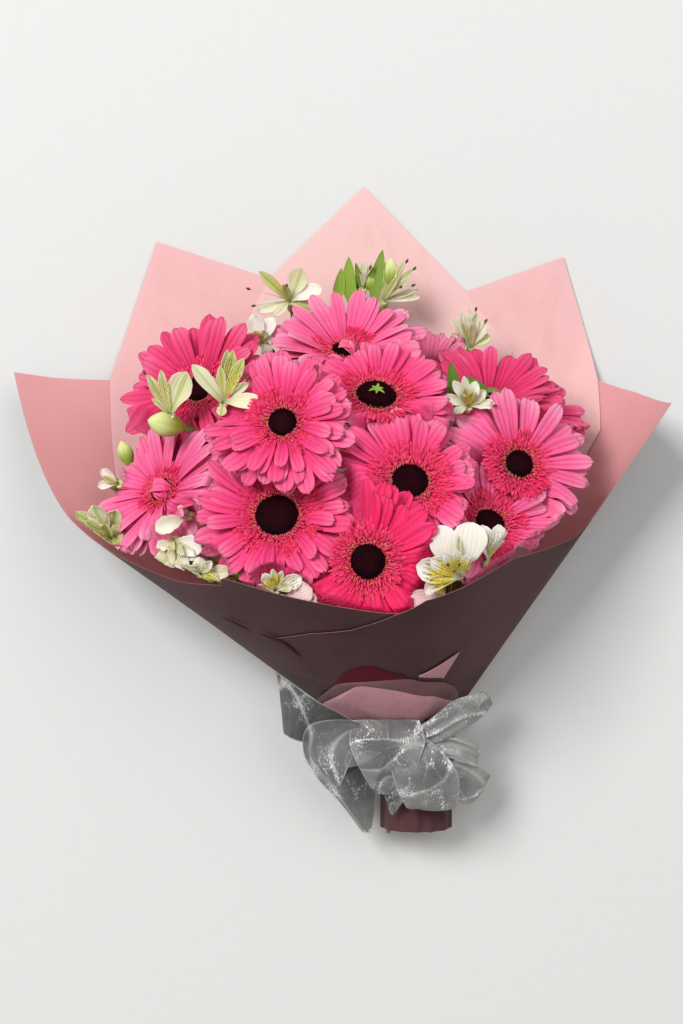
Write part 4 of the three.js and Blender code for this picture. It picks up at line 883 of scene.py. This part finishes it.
# The sprays. A flower: mouth, facing, size, ruffle, tips of its stamens, tepals. A tepal: tip, width, curl in
# degrees, tone from pale pink through white to lime, throat markings. A bud: tip and length. A leaf: root, tip,
# width, curl, tone.
sprays = [
    {"name": 1, "fork": (-42, 92, 46), "slot": (52.5, 21), "over": False,
     "flowers": [
      ((-41, 168, 62), (-0.05, 0.5, 0.85), 0.9, 0.9, [(-73, 176, 74), (-69, 163, 72), (-43, 178, 78)],
       [((-66, 189, 76), 9, -20, 0.8, 0.25), ((-46, 180, 76), 6, -10, 0.95, 0.3), ((-30, 192, 74), 16, 20, 0.45, 0),
        ((-15, 177, 72), 13, -30, 0.1, 0), ((-66, 158, 66), 10, -24, 0.3, 0), ((-23, 159, 64), 12, -30, 0.6, 0),
        ((-52, 154, 70), 8, -20, 0.4, 0)]),
      ((-62, 133, 80), (-0.4, 0.3, 0.85), 0.8, 2.2, [(-74, 134, 88)],
       [((-79, 140, 82), 10, -20, 0.1, 0), ((-67, 155, 88), 11, -20, 0.05, 0), ((-53, 152, 88), 12, -20, 0.0, 0),
        ((-43, 142, 84), 9, -20, 0.0, 0), ((-79, 127, 80), 7, -10, 0.35, 0), ((-68, 141, 92), 6, -10, 0.8, 0.9),
        ((-59, 142, 90), 6, 10, 0.3, 0.4), ((-56, 123, 82), 9, -20, 0.2, 0)])]},
    {"name": 2, "fork": (32, 128, 36), "slot": (58.7, 18.2), "over": False,
     "buds": [((40, 204, 50), 27), ((22, 196, 46), 22)],
     "leaves": [((-4, 169, 40), (0, 196, 48), 10, -14, 0.85), ((7, 169, 40), (6, 205, 50), 12, -12, 0.8),
      ((15, 172, 38), (12, 201, 44), 6, -10, 0.65), ((18, 177, 42), (11, 199, 54), 6, 10, 0.5),
      ((18, 177, 42), (27, 198, 54), 6, -10, 0.4), ((26, 168, 44), (33, 210, 54), 12, -10, 0.45),
      ((36, 169, 42), (41, 201, 46), 6, -12, 0.6)],
     "flowers": [
      ((34, 170, 46), (0.4, 0.6, 0.6), 0.8, 0.7, [(58, 194, 58), (57, 181, 56), (47, 179, 60), (52, 200, 56)],
       [((41, 200, 52), 10, -8, 0.75, 0), ((51, 200, 54), 6, 8, 0.6, 0.2), ((58, 196, 50), 6, -8, 0.65, 0.2),
        ((55, 187, 56), 6, 6, 0.6, 0.2), ((62, 178, 48), 5, 14, 0.5, 0), ((64, 172, 44), 6, -14, 0.35, 0),
        ((45, 189, 58), 5, -10, 0.7, 0.2)]),
      ((17, 180, 46), (0.1, 0.8, 0.5), 0.5, 0.5, [(23, 195, 56)],
       [((16, 200, 50), 4, 0, 0.5, 0), ((20, 201, 50), 4, 5, 0.2, 0.2), ((24, 200, 48), 3, 0, 0.6, 0),
        ((18, 194, 54), 3, 0, 0.1, 0.3)]),
      ((104, 132, 50), (0.2, 0.8, 0.5), 0.5, 1.1, [(115, 152, 58), (107, 161, 62)],
       [((88, 155, 54), 7, 10, 0.4, 0), ((93, 160, 58), 6, 6, 0.25, 0.2), ((98, 156, 61), 7, 0, 0.3, 0.2),
        ((103, 162, 58), 6, -6, 0.35, 0), ((108, 159, 59), 7, 0, 0.25, 0.2), ((115, 152, 56), 10, -14, 0.3, 0),
        ((84, 143, 54), 6, 14, 0.4, 0), ((120, 140, 54), 8, 14, 0.6, 0), ((95, 151, 64), 5, 0, 0.6, 0.2),
        ((104, 151, 64), 6, 0, 0.5, 0.3)])]},
    {"name": 3, "fork": (88, 56, 92), "slot": (64.7, 25.2), "over": True,
     "leaves": [((85, 85, 128), (82, 113, 142), 11, -10, 0.12), ((110, 88, 130), (94, 102, 138), 11, -16, 0.18)],
     "flowers": [
      ((96, 80, 134), (0.05, 0.3, 1), 0.6, 2.0, [(115, 80, 142)],
       [((77, 87, 140), 8, -24, 0.15, 0.1), ((84, 99, 146), 8, -34, 0.05, 0.15),
        ((92, 102, 148), 7, -30, 0.15, 0.2), ((102, 98, 146), 8, -36, 0.08, 0.15),
        ((116, 81, 140), 8, -50, 0.15, 0.1), ((84, 75, 140), 7, -30, 0.2, 0.1), ((92, 93, 149), 5, -14, 0.9, 0.9),
        ((99, 91, 149), 5, -14, 0.85, 0.9), ((109, 91, 144), 8, -26, 0.2, 0.2),
        ((88, 90, 148), 4, -10, 0.4, 0.5)])]},
    {"name": 4, "fork": (-98, 60, 108), "slot": (58.5, 24.5), "over": True,
     "buds": [((-144, 68, 156), 39)],
     "flowers": [
      ((-128, 73, 150), (-0.15, 0.25, 0.95), 0.6, 1.2, [(-146, 103, 160)],
       [((-144, 102, 158), 8, -14, 0.75, 0.35), ((-135, 105, 160), 7, -10, 0.65, 0.35),
        ((-115, 104, 160), 19, 16, 0.55, 0), ((-141, 85, 156), 4, -16, 0.9, 0)]),
      ((-87, 81, 166), (0.1, 0.3, 0.95), 0.95, 0.9, [(-69, 98, 176)],
       [((-110, 108, 176), 11, -30, 0.42, 0), ((-83, 119, 176), 8, 8, 0.85, 0.3), ((-78, 118, 179), 9, 6, 1.0, 0.4),
        ((-72, 113, 178), 9, -8, 1.0, 0.4), ((-88, 107, 177), 7, 8, 0.8, 0.2), ((-98, 99, 172), 8, -12, 0.15, 0),
        ((-57, 81, 178), 12, -46, 0.22, 0.12), ((-69, 96, 174), 7, 10, 0.5, 0),
        ((-89, 71, 168), 7, -10, 0.7, 0)])]},
    {"name": 5, "fork": (-148, -16, 72), "slot": (46.5, 18.7), "over": True,
     "buds": [((-173, 56, 82), 24), ((-186, 30, 78), 20)],
     "flowers": [
      ((-178, -20, 102), (-0.35, 0.0, 0.9), 0.8, 2.6, [],
       [((-204, -1, 116), 13, -20, 0.75, 0), ((-191, 5, 120), 15, -24, 0.55, 0), ((-173, 2, 122), 14, 20, 0.6, 0),
        ((-193, -15, 118), 14, -14, 1.0, 0.15), ((-179, -9, 124), 10, -20, 1.0, 0.25),
        ((-166, -15, 120), 15, -26, 0.9, 0), ((-169, -27, 114), 12, -20, 0.75, 0),
        ((-184, -24, 114), 12, -14, 0.95, 0), ((-196, -7, 122), 8, -20, 0.95, 0)]),
      ((-174, 22, 90), (-0.5, 0.2, 0.8), 0.5, 0.9, [],
       [((-186, 34, 94), 8, -20, 0.0, 0), ((-190, 21, 92), 7, -20, 0.05, 0), ((-186, 26, 96), 5, 0, 1.0, 0)])]},
    {"name": 6, "fork": (-84, -50, 108), "slot": (52.9, 27.6), "over": True,
     "flowers": [
      ((-115, -3, 154), (-0.35, -0.05, 1), 0.6, 2.6, [],
       [((-138, -14, 162), 13, -44, 0.15, 0), ((-119, 5, 160), 6, -16, 0.15, 0)]),
      ((-125, -21, 152), (-0.35, -0.05, 1), 0.9, 2.6, [],
       [((-135, -49, 160), 16, -20, 0.5, 0), ((-127, -43, 166), 7, -16, 0.25, 0.25),
        ((-119, -47, 166), 7, -20, 0.15, 0.3), ((-111, -43, 170), 7, -20, 0.12, 0.3),
        ((-102, -27, 168), 15, -24, 0.05, 0), ((-106, -35, 168), 10, -20, 0.12, 0.2),
        ((-137, -27, 160), 8, -16, 0.3, 0), ((-116, -32, 172), 6, 10, 0.3, 0.3),
        ((-125, -30, 170), 5, -10, 0.5, 0.2)]),
      ((-104, -46, 166), (-0.1, -0.1, 1), 1.0, 2.8, [],
       [((-123, -41, 172), 10, -16, 0.2, 0.2), ((-118, -54, 172), 12, -14, 0.5, 1.0),
        ((-104, -33, 176), 10, -24, 0.1, 0.2), ((-89, -52, 174), 11, -20, 0.9, 0.5),
        ((-81, -43, 172), 10, -24, 0.35, 0), ((-102, -60, 168), 10, -10, 0.25, 0.6),
        ((-112, -40, 178), 7, 0, 0.2, 0.4), ((-94, -37, 178), 7, 0, 0.1, 0.3),
        ((-110, -57, 170), 9, -16, 0.2, 0.8)]),
      ((-48, -57, 186), (0, -0.15, 1), 0.9, 2.2, [],
       [((-63, -59, 192), 12, -20, 0.05, 0.5), ((-57, -45, 197), 9, -14, 0.15, 0.9),
        ((-50, -41, 197), 6, -14, 0.35, 1.0), ((-42, -43, 195), 6, -10, 0.5, 0.5),
        ((-29, -46, 194), 11, -24, 0.0, 0.35), ((-48, -67, 188), 8, -10, 0.0, 0.6),
        ((-35, -53, 194), 7, 10, 0.05, 0.4), ((-58, -65, 189), 8, -16, 0.1, 0.6)]),
      ((-40, -64, 184), (0.1, -0.1, 1), 0.9, 1.0, [],
       [((-22, -54, 194), 17, -20, -0.25, 0), ((-12, -69, 190), 16, -24, -0.15, 0),
        ((-29, -74, 184), 12, -20, -0.1, 0)])]},
    {"name": 7, "fork": (72, -42, 128), "slot": (58.4, 30.7), "over": True,
     "flowers": [
      ((78, -40, 196), (0.05, -0.05, 1), 1.0, 0.7, [],
       [((71, -9, 204), 20, -34, 0.0, 0)]),
      ((90, -39, 197), (0.05, -0.05, 1), 1.0, 0.7, [],
       [((94, -7, 206), 24, -34, 0.0, 0)]),
      ((86, -47, 199), (0.05, -0.05, 1), 1.0, 0.8, [(76, -38, 213), (84, -38, 213), (81, -43, 213)],
       [((82, -17, 210), 4, -6, 0.75, 0), ((53, -39, 209), 18, -24, -0.06, 1.0),
        ((59, -57, 207), 17, -20, -0.06, 0.9), ((64, -32, 212), 12, -20, 0.02, 1.0),
        ((73, -28, 213), 9, -20, 0.05, 1.0), ((82, -26, 213), 8, -16, 0.05, 1.0),
        ((90, -29, 212), 9, -20, 0.05, 1.0), ((99, -35, 209), 9, -20, 0.0, 1.0)]),
      ((71, -61, 192), (-0.2, -0.2, 0.9), 0.7, 0.6, [],
       [((47, -66, 198), 16, -20, -0.3, 0)]),
      ((109, -38, 188), (0.4, 0.05, 0.95), 0.9, 1.4, [],
       [((102, -9, 197), 13, -24, 0.03, 0), ((114, -9, 199), 14, -24, 0.0, 0.3),
        ((123, -17, 197), 12, -30, 0.0, 0.3), ((118, -24, 200), 9, -10, 0.02, 1.0),
        ((128, -29, 193), 11, -20, -0.05, 0.8), ((111, -20, 201), 6, -10, 0.1, 1.0)])]},
]
spray = {
    "seed": 90, "funnel": 13, "stem": 2.1, "stalk": 1.2, "leafStalk": 0.8, "stemEnd": -252, "thickness": 0.45,
    # how far each tepal may differ from its line, where it starts, and how much wider than its line it is
    "vary": {"roll": (-14, 14), "sway": (-1.5, 1.5), "tone": (-0.04, 0.04)}, "tepalStart": 1.5, "broaden": 1.06,
    "tepalCup": {"round": 0.12, "broad": 0.42, "narrow": 0.42},
    # radii of a filament along its curve and of the anther at its end
    "filament": [0.45, 0.38, 0.3], "anther": [0.4, 1.3, 0.4],
    # widest against its length for a round and for a broad tepal
    "roundFrom": 0.58, "broadFrom": 0.34,
    "round": ([0, 0.08, 0.25, 0.5, 0.72, 0.88, 0.96, 1], [0.14, 0.30, 0.72, 1.0, 0.99, 0.76, 0.46, 0.12]),
    "broad": ([0, 0.2, 0.42, 0.64, 0.82, 0.93, 1], [0.2, 0.42, 0.80, 1.0, 0.90, 0.60, 0.12]),
    "narrow": ([0, 0.25, 0.5, 0.72, 0.9, 1], [0.4, 0.66, 0.92, 1.0, 0.62, 0.1]),
    "leaf": ([0, 0.15, 0.4, 0.7, 0.9, 1], [0.3, 0.7, 1.0, 0.76, 0.36, 0.04]),
    "mouth": [(0.8, 0), (2.5, 0.8), (3.0, 5), (3.4, 9), (3.6, 12), (2.8, 12.8), (0.4, 11)],
    "budWidth": 0.235, "budLobe": 0.09,
    "leafBlade": {"rows": 16, "columns": 9, "cup": 0.3},
}
# flowers of the sprays that lie over the gerberas: (mouth, facing, size)
overlying = [flower[:3] for s in sprays if s["over"] for flower in s["flowers"]]


def bladeTo(root, tip, width, curl, face, roll=0, sway=0, **shape):
    # A blade that arches from one point to another.
    grid = bladeGrid(np.linalg.norm(tip - root), width, -curl / 2.2, curl, roll, sway, power=1.2, **shape)
    return stand(grid, root, unit(tip - root), face)


def makeFlowers(k, s):
    draw, heap = random.Random(spray["seed"] + k), Heap()
    pick = picker(draw, spray["vary"])
    for at, facing, _, ruffle, stamens, tepals in s["flowers"]:
        at, (side, ahead, up) = vec(at), frameOf(facing)
        for n, (tip, width, curl, tone, throat) in enumerate(tepals):
            tip = vec(tip)
            share = width / np.linalg.norm(tip - at)
            form = "round" if share > spray["roundFrom"] else "broad" if share > spray["broadFrom"] else "narrow"
            grid = bladeTo(at + unit(tip - at) * spray["tepalStart"], tip, width * spray["broaden"], curl,
                           0.5 * up + vec(0, 0, 1), pick("roll"), pick("sway"), rows=15, columns=9,
                           cup=spray["tepalCup"][form], outline=spray[form], ruffle=ruffle, seed=10 * k + n)
            heap.grid(grid, tint=tone + pick("tone"), kind=throat)
        heap.solid(turned(at - up * spray["funnel"], wheel(12, side, ahead), up, spray["mouth"]), tint=0.9)
        for tip in map(vec, stamens):
            way = unit(tip - at)
            heap.tube([at, at + 0.5 * (tip - at) + up * 1.5, tip], spray["filament"], 5, 7, tint=0.3)
            heap.tube([tip - way * 1.6, tip + way * 0.6, tip + way * 2.4], spray["anther"], 7, 7, kind=2.0)
    heap.place(insideWrap)
    heap.make(f"spray{s['name']}Flowers", ["tepals"], "white_petals", f"alstroemeria_{s['name']}_flowers",
              spray["thickness"])


def makeGreens(s):
    heap, fork, (x, z) = Heap(), vec(s["fork"]), s["slot"]
    waist = vec(x, wrap["tieY"] + 16, z)
    arrive = unit(fork - vec(x, wrap["tieY"], z))
    first = waist + (fork - waist) * 0.2 + vec(0, 4, 0)
    last = fork - arrive * 0.24 * np.linalg.norm(fork - waist)
    heap.tube([vec(x, spray["stemEnd"], z), vec(x, wrap["tieY"] - 10, z), waist, first, (first + last) / 2, last,
               fork], [spray["stem"]] * 7, 10, 40, tint=0.45)

    def stalk(top, axis, radius=spray["stalk"]):
        high = top - axis * 8
        heap.tube([fork - arrive * 3, fork + arrive * 5, fork + (high - fork) * 0.55, high, top],
                  [radius * 1.1, radius, radius, radius, radius * 1.3], 8, 22, tint=0.6)

    for flower in s["flowers"]:
        axis = unit(flower[1])
        stalk(vec(flower[0]) - axis * (spray["funnel"] + 0.4), axis)
    for tip, length in s.get("buds", []):
        axis = unit(vec(tip) - fork)
        base = vec(tip) - axis * length
        stalk(base + axis * 1.5, axis)
        across = unit(np.cross(axis, (0, 0, 1)))
        rim, ridges = wheel(24, across, np.cross(axis, across)), np.linspace(0, math.tau, 24, endpoint=False)
        rings = []
        for t in np.linspace(0, 1, 18):
            wide = length * spray["budWidth"] * math.sin(math.pi * min(1, t * 1.02) ** 1.3) ** 0.75 + 0.3
            lobes = 1 + spray["budLobe"] * np.cos(3 * ridges + 2.2 * t)
            rings.append(base + axis * length * t + wide * lobes[:, None] * rim)
        heap.solid(np.array(rings), tint=0.9, kind=1.0)
    for n, (root, tip, width, curl, tone) in enumerate(s.get("leaves", [])):
        root, tip = vec(root), vec(tip)
        way = unit(tip - root)
        stalk(root + way * 2.0, way, spray["leafStalk"])
        heap.grid(bladeTo(root, tip, width, curl, vec(0.2 * (-1) ** n, 0, 1), outline=spray["leaf"],
                          **spray["leafBlade"]), tint=tone)
    heap.place(insideWrap)
    heap.make(f"spray{s['name']}Greens", ["greens"], "spray_greens", f"alstroemeria_{s['name']}_stem")


for k, s in enumerate(sprays):
    makeFlowers(k, s)
    makeGreens(s)
print("alstroemerias grown:", len(sprays), "sprays")
for k, flower in enumerate(gerberas):
    draw, axes = random.Random(flower["name"]), frameOf(flower["facing"])
    bend = (lambda points: settle(points, k)) if flower.get("hidden") else insideWrap
    makePetals(k, flower, axes, draw)
    makeFlorets(flower, axes, draw, bend)
    makeEye(flower, axes, draw, bend)
print("gerberas grown:", len(gerberas))

star = {"on": "E", "leaflets": 6, "length": 6.2, "width": 2.6, "lift": 18, "curl": -40, "rise": 7.2,
        "thickness": 0.35}


def makeStar():
    # A small green calyx that lies on one of the eyes.
    flower = next(f for f in gerberas if f["name"] == star["on"])
    side, ahead, up = frameOf(flower["facing"])
    foot, heap = vec(flower["centre"]) + up * star["rise"], Heap()
    for n in range(star["leaflets"]):
        leaflet = bladeGrid(star["length"] * (0.85 + 0.3 * (n % 2)), star["width"], star["lift"], star["curl"],
                            rows=9, columns=5, cup=0.4, outline=spray["leaf"])
        heap.grid(stand(leaflet, foot, spoke(math.tau * n / star["leaflets"] + 0.3, side, ahead), up), tint=0.85)
    heap.tube([foot - up * 4, foot - up * 1.5, foot + up * 0.8], [0.8, 1.2, 0.9], 9, 8, tint=0.6)
    heap.make("greenStar", ["greens"], "spray_greens", thick=star["thickness"])


makeStar()

# The gerberas' own stems keep their solid shape, rounded.
for flower in gerberas:
    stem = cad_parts["gerbera_" + flower["name"].lower() + "_stem"]
    stem.data.materials.clear()
    stem.data.materials.append(paints["gerberaStem"])
    stem.modifiers.new("weld", "WELD").merge_threshold = 0.00002
    rounding = stem.modifiers.new("rounding", "SUBSURF")
    rounding.levels = rounding.render_levels = 2
    stem.data.polygons.foreach_set("use_smooth", [True] * len(stem.data.polygons))
print("stems rounded:", len(gerberas))

ribbon = {
    "thickness": 0.16, "knot": (36, -184), "ripple": 2.6, "seed": 31, "rowsBetween": 24, "columns": 36, "lowest": 1.0,
    # pleats that spread out from the knot: height, how many, and how far they go
    "fan": 2.4, "pleats": 4.5, "fanReach": 32,
    # crumples along and across a strip, large and small, and the heights of the gathers and of both crumples
    "large": (8, 3.6), "small": (22, 9), "heights": (0.3, 0.85, 0.22), "gathers": (2.6, 3.8),
    # how light each strip is painted, as painted light and shade, 0.5 for those without a line
    "tints": {"upperLeftTail": 0.0, "lowerLeftTail": 0.26, "upperRightCurl": 0.66, "rightLoop": 1.0,
              "farRightLoop": 1.0},
}
# the two edges of each strip at its stations, from the knot on
strips = {
    "upperLeftTail": [[(32, -178, 78), (32, -189, 78)], [(-1, -157, 84), (-5, -185, 80)],
        [(-25, -143, 84), (-30, -181, 74)], [(-51, -126, 72), (-44, -176, 58)]],
    "lowerLeftTail": [[(32, -176, 78), (35, -185, 78)], [(3, -163, 88), (16, -178, 90)],
        [(-25, -167, 86), (0, -211, 92)], [(-29, -190, 70), (-3, -211, 76)], [(-19, -212, 58), (26, -198, 68)],
        [(-1, -233, 50), (28, -222, 58)], [(17, -258, 42), (24, -258, 44)]],
    "gatheredFront": [[(9, -163, 84), (61, -163, 84)], [(6, -179, 93), (65, -179, 93)],
        [(12, -195, 96), (59, -195, 96)], [(20, -209, 90), (51, -209, 90)], [(29, -221, 82), (45, -221, 82)]],
    "middleTail": [[(29, -187, 80), (47, -188, 80)], [(25, -203, 86), (54, -206, 82)],
        [(33, -221, 76), (51, -221, 72)], [(39, -240, 62), (42, -240, 62)]],
    "lowerRightLoop": [[(34, -182, 82), (58, -172, 82)], [(39, -202, 95), (78, -186, 94)],
        [(44, -218, 93), (91, -206, 90)], [(51, -231, 80), (90, -232, 76)], [(50, -226, 69), (88, -225, 65)],
        [(44, -205, 68), (76, -200, 67)], [(37, -189, 74), (52, -185, 74)]],
    "upperRightCurl": [[(42, -178, 80), (50, -186, 80)], [(66, -164, 90), (77, -180, 88)],
        [(89, -147, 88), (104, -166, 84)], [(112, -142, 76), (121, -152, 70)], [(109, -143, 62), (117, -155, 58)],
        [(86, -156, 66), (96, -169, 62)], [(54, -178, 74), (54, -186, 74)]],
    "rightLoop": [[(50, -182, 80), (52, -190, 80)], [(80, -175, 84), (84, -193, 82)],
        [(104, -181, 76), (105, -201, 72)], [(111, -188, 64), (109, -201, 62)], [(106, -187, 54), (105, -202, 52)],
        [(80, -182, 64), (83, -195, 63)], [(54, -184, 75), (54, -190, 75)]],
    "farRightLoop": [[(50, -186, 80), (50, -194, 80)], [(81, -195, 76), (76, -215, 74)],
        [(108, -202, 66), (97, -232, 66)], [(120, -211, 54), (111, -231, 52)], [(112, -208, 44), (100, -232, 42)],
        [(83, -198, 63), (79, -213, 62)], [(52, -188, 75), (52, -194, 75)]],
}


def makeStrip(n, name):
    seed, stations = ribbon["seed"] + n, np.array(strips[name], float)
    rows = ribbon["rowsBetween"] * (len(stations) - 1)
    edges = along(stations, np.linspace(0, 1, rows))
    across = np.linspace(0, 1, ribbon["columns"])[None, :]
    far = np.linspace(0, 1, rows)[:, None]
    points = edges[:, :1] + (edges[:, 1:] - edges[:, :1]) * across[..., None]
    normal = unit(np.cross(np.gradient(points, axis=0), np.gradient(points, axis=1)))
    draw = random.Random(seed)
    # soft gathers at the knot, then crumples that meet in sharp creases
    gathers = math.tau * draw.uniform(*ribbon["gathers"])
    gather = np.sin(gathers * across + draw.uniform(0, 6) + 1.6 * far) * (1 - far) ** 2
    wave, small = (np.abs(ripple(far * long + 0 * across, across * wide + 0 * far, at))
                   for (long, wide), at in ((ribbon["large"], seed), (ribbon["small"], seed + 50)))
    height = sum(share * form for share, form in zip(ribbon["heights"], (gather, wave, small)))
    height = ribbon["ripple"] * height * (0.4 + 0.6 * smooth(far * 5))
    away = points[..., :2] - vec(ribbon["knot"])
    turn = np.arctan2(away[..., 1], away[..., 0])
    pleat = 1 - np.abs(np.sin(ribbon["pleats"] * turn + draw.uniform(0, 3)))
    near = np.exp(-np.hypot(away[..., 0], away[..., 1]) / ribbon["fanReach"])
    height = height + ribbon["fan"] * pleat ** 2 * near
    # the creases are where the ribbon's paint lays its painted highlights and glints
    crease = np.clip(np.maximum(1 - 2.6 * wave, 0.75 - 2.6 * small), 0, 1)
    crease = np.maximum(crease, np.maximum(0.5 * smooth(gather * 2 - 1), 1.3 * pleat ** 4 * near))
    points = points + normal * height[..., None]
    points[..., 2] = np.maximum(points[..., 2], ribbon["lowest"])
    heap = Heap()
    heap.grid(points, tint=ribbon["tints"].get(name, 0.5), kind=crease)
    piece = heap.make(name, ["ribbon"], "ribbon", thick=ribbon["thickness"], offset=0)
    # the flat size is the mean width by the mean length of the strip as drawn
    width, length = (np.linalg.norm(np.diff(points, axis=axis), axis=2).sum(axis).mean() * drawing["millimetre"]
                     for axis in (1, 0))


band = {
    "top": -167, "low": -221, "rows": 26, "columns": 150, "out": 1.6, "gathers": 34, "flat": (0.054, 0.207),
    # it takes the handle's round below and the neck's above, from one height over the next millimetres
    "neckFrom": -182, "neckOver": 15, "gather": 0.7, "crumple": 0.5, "sway": 1.2, "lowest": 0.3,
}


def makeBand():
    # The turns of ribbon round the neck and handle, with fine upright gathers.
    turn = np.linspace(0, math.tau, band["columns"], endpoint=False)
    y = np.linspace(band["top"], band["low"], band["rows"])[:, None]
    share = smooth((y - band["neckFrom"]) / band["neckOver"])
    x, z, wide, tall = (low * (1 - share) + high * share for low, high in zip(
        wrap["handleCentre"] + wrap["handleRadius"], wrap["neckCentre"] + wrap["neckHalf"]))
    out = band["out"] + band["gather"] * np.sin(turn * band["gathers"] + 1.5 * np.sin(y / 6))
    out = out + band["crumple"] * ripple(turn * 6, y / 7 + 0 * turn, 3)
    points = np.stack([x + (wide + out) * np.sin(turn), y + band["sway"] * np.sin(turn * 5),
                       np.maximum(z + (tall + out) * np.cos(turn), band["lowest"])], -1)
    heap = Heap()
    # the gathers' crests carry the ribbon's painted highlights
    heap.grid(points, kind=0.35 + 0.35 * np.sin(turn * band["gathers"]) + 0 * y, closed=True)
    piece = heap.make("ribbonBand", ["ribbon"], "ribbon", "ribbon_band", ribbon["thickness"], offset=1)


knot = {
    "centre": (38, -186, 75), "halfLength": 15, "radius": 9.5, "rows": 30, "columns": 48,
    # ribs round it, each with its height, count and slant
    "ribs": [(0.09, 7, 3), (0.05, 13, -5)],
}


def makeKnot():
    # The gathered heart of the bow, a pinched turn of ribbon.
    turn = np.linspace(0, math.tau, knot["columns"], endpoint=False)
    s = np.linspace(-1, 1, knot["rows"])[:, None]
    rib = 1 + sum(height * np.sin(count * turn + slant * s) for height, count, slant in knot["ribs"])
    out = knot["radius"] * np.sqrt(np.maximum(0.02, 1 - s * s)) * rib
    x, y, z = knot["centre"]
    points = np.stack([x + knot["halfLength"] * s + 0 * turn, y + out * np.cos(turn), z + out * np.sin(turn)], -1)
    heap = Heap()
    heap.solid(points, kind=0.6)
    heap.make("bowKnot", ["ribbon"], "ribbon", "ribbon_bow")


for n, name in enumerate(strips):
    makeStrip(n, name)
makeBand()
makeKnot()
print("ribbon tied:", len(strips), "strips")

floorSize = {"half": 4, "depth": -0.0004}
studio = {
    "lamps": {"key": {"at": (-2.1, 1.9, 4.2), "size": 1.9, "power": 200},
              "fill": {"at": (1.7, 1.4, 3.6), "size": 2.6, "power": 42}},
    "target": (0, 0, 0.1), "world": "f3f2ef", "worldPower": 0.42,
    "camera": (0.0060, -0.0032, 1.5), "lens": 63.53, "sensor": 36, "clipStart": 0.05,
}

scene = bpy.context.scene
half, depth = floorSize["half"], floorSize["depth"]
floorMesh = bpy.data.meshes.new("floor")
floorMesh.from_pydata([(-half, -half, depth), (half, -half, depth), (half, half, depth), (-half, half, depth)],
                      [], [[0, 1, 2, 3]])
floorMesh.materials.append(paints["floor"])
floor = bpy.data.objects.new("floor", floorMesh)
scene.collection.objects.link(floor)

for name, lamp in studio["lamps"].items():
    light = bpy.data.lights.new(name, "AREA")
    light.size, light.energy = lamp["size"], lamp["power"]
    held = bpy.data.objects.new(name, light)
    held.location = lamp["at"]
    held.rotation_mode = "QUATERNION"
    held.rotation_quaternion = (Vector(studio["target"]) - held.location).to_track_quat("-Z", "Y")
    scene.collection.objects.link(held)
world = bpy.data.worlds.new("studio")
world.use_nodes = True
background = world.node_tree.nodes["Background"]
background.inputs[0].default_value = shade(studio["world"])
background.inputs[1].default_value = studio["worldPower"]
scene.world = world
scene.view_settings.view_transform = "Standard"

camera = bpy.data.objects.new("camera", bpy.data.cameras.new("camera"))
camera.location = studio["camera"]
camera.data.lens, camera.data.sensor_width = studio["lens"], studio["sensor"]
camera.data.clip_start = studio["clipStart"]
scene.collection.objects.link(camera)
scene.camera = camera
print("floor, lights and camera placed")
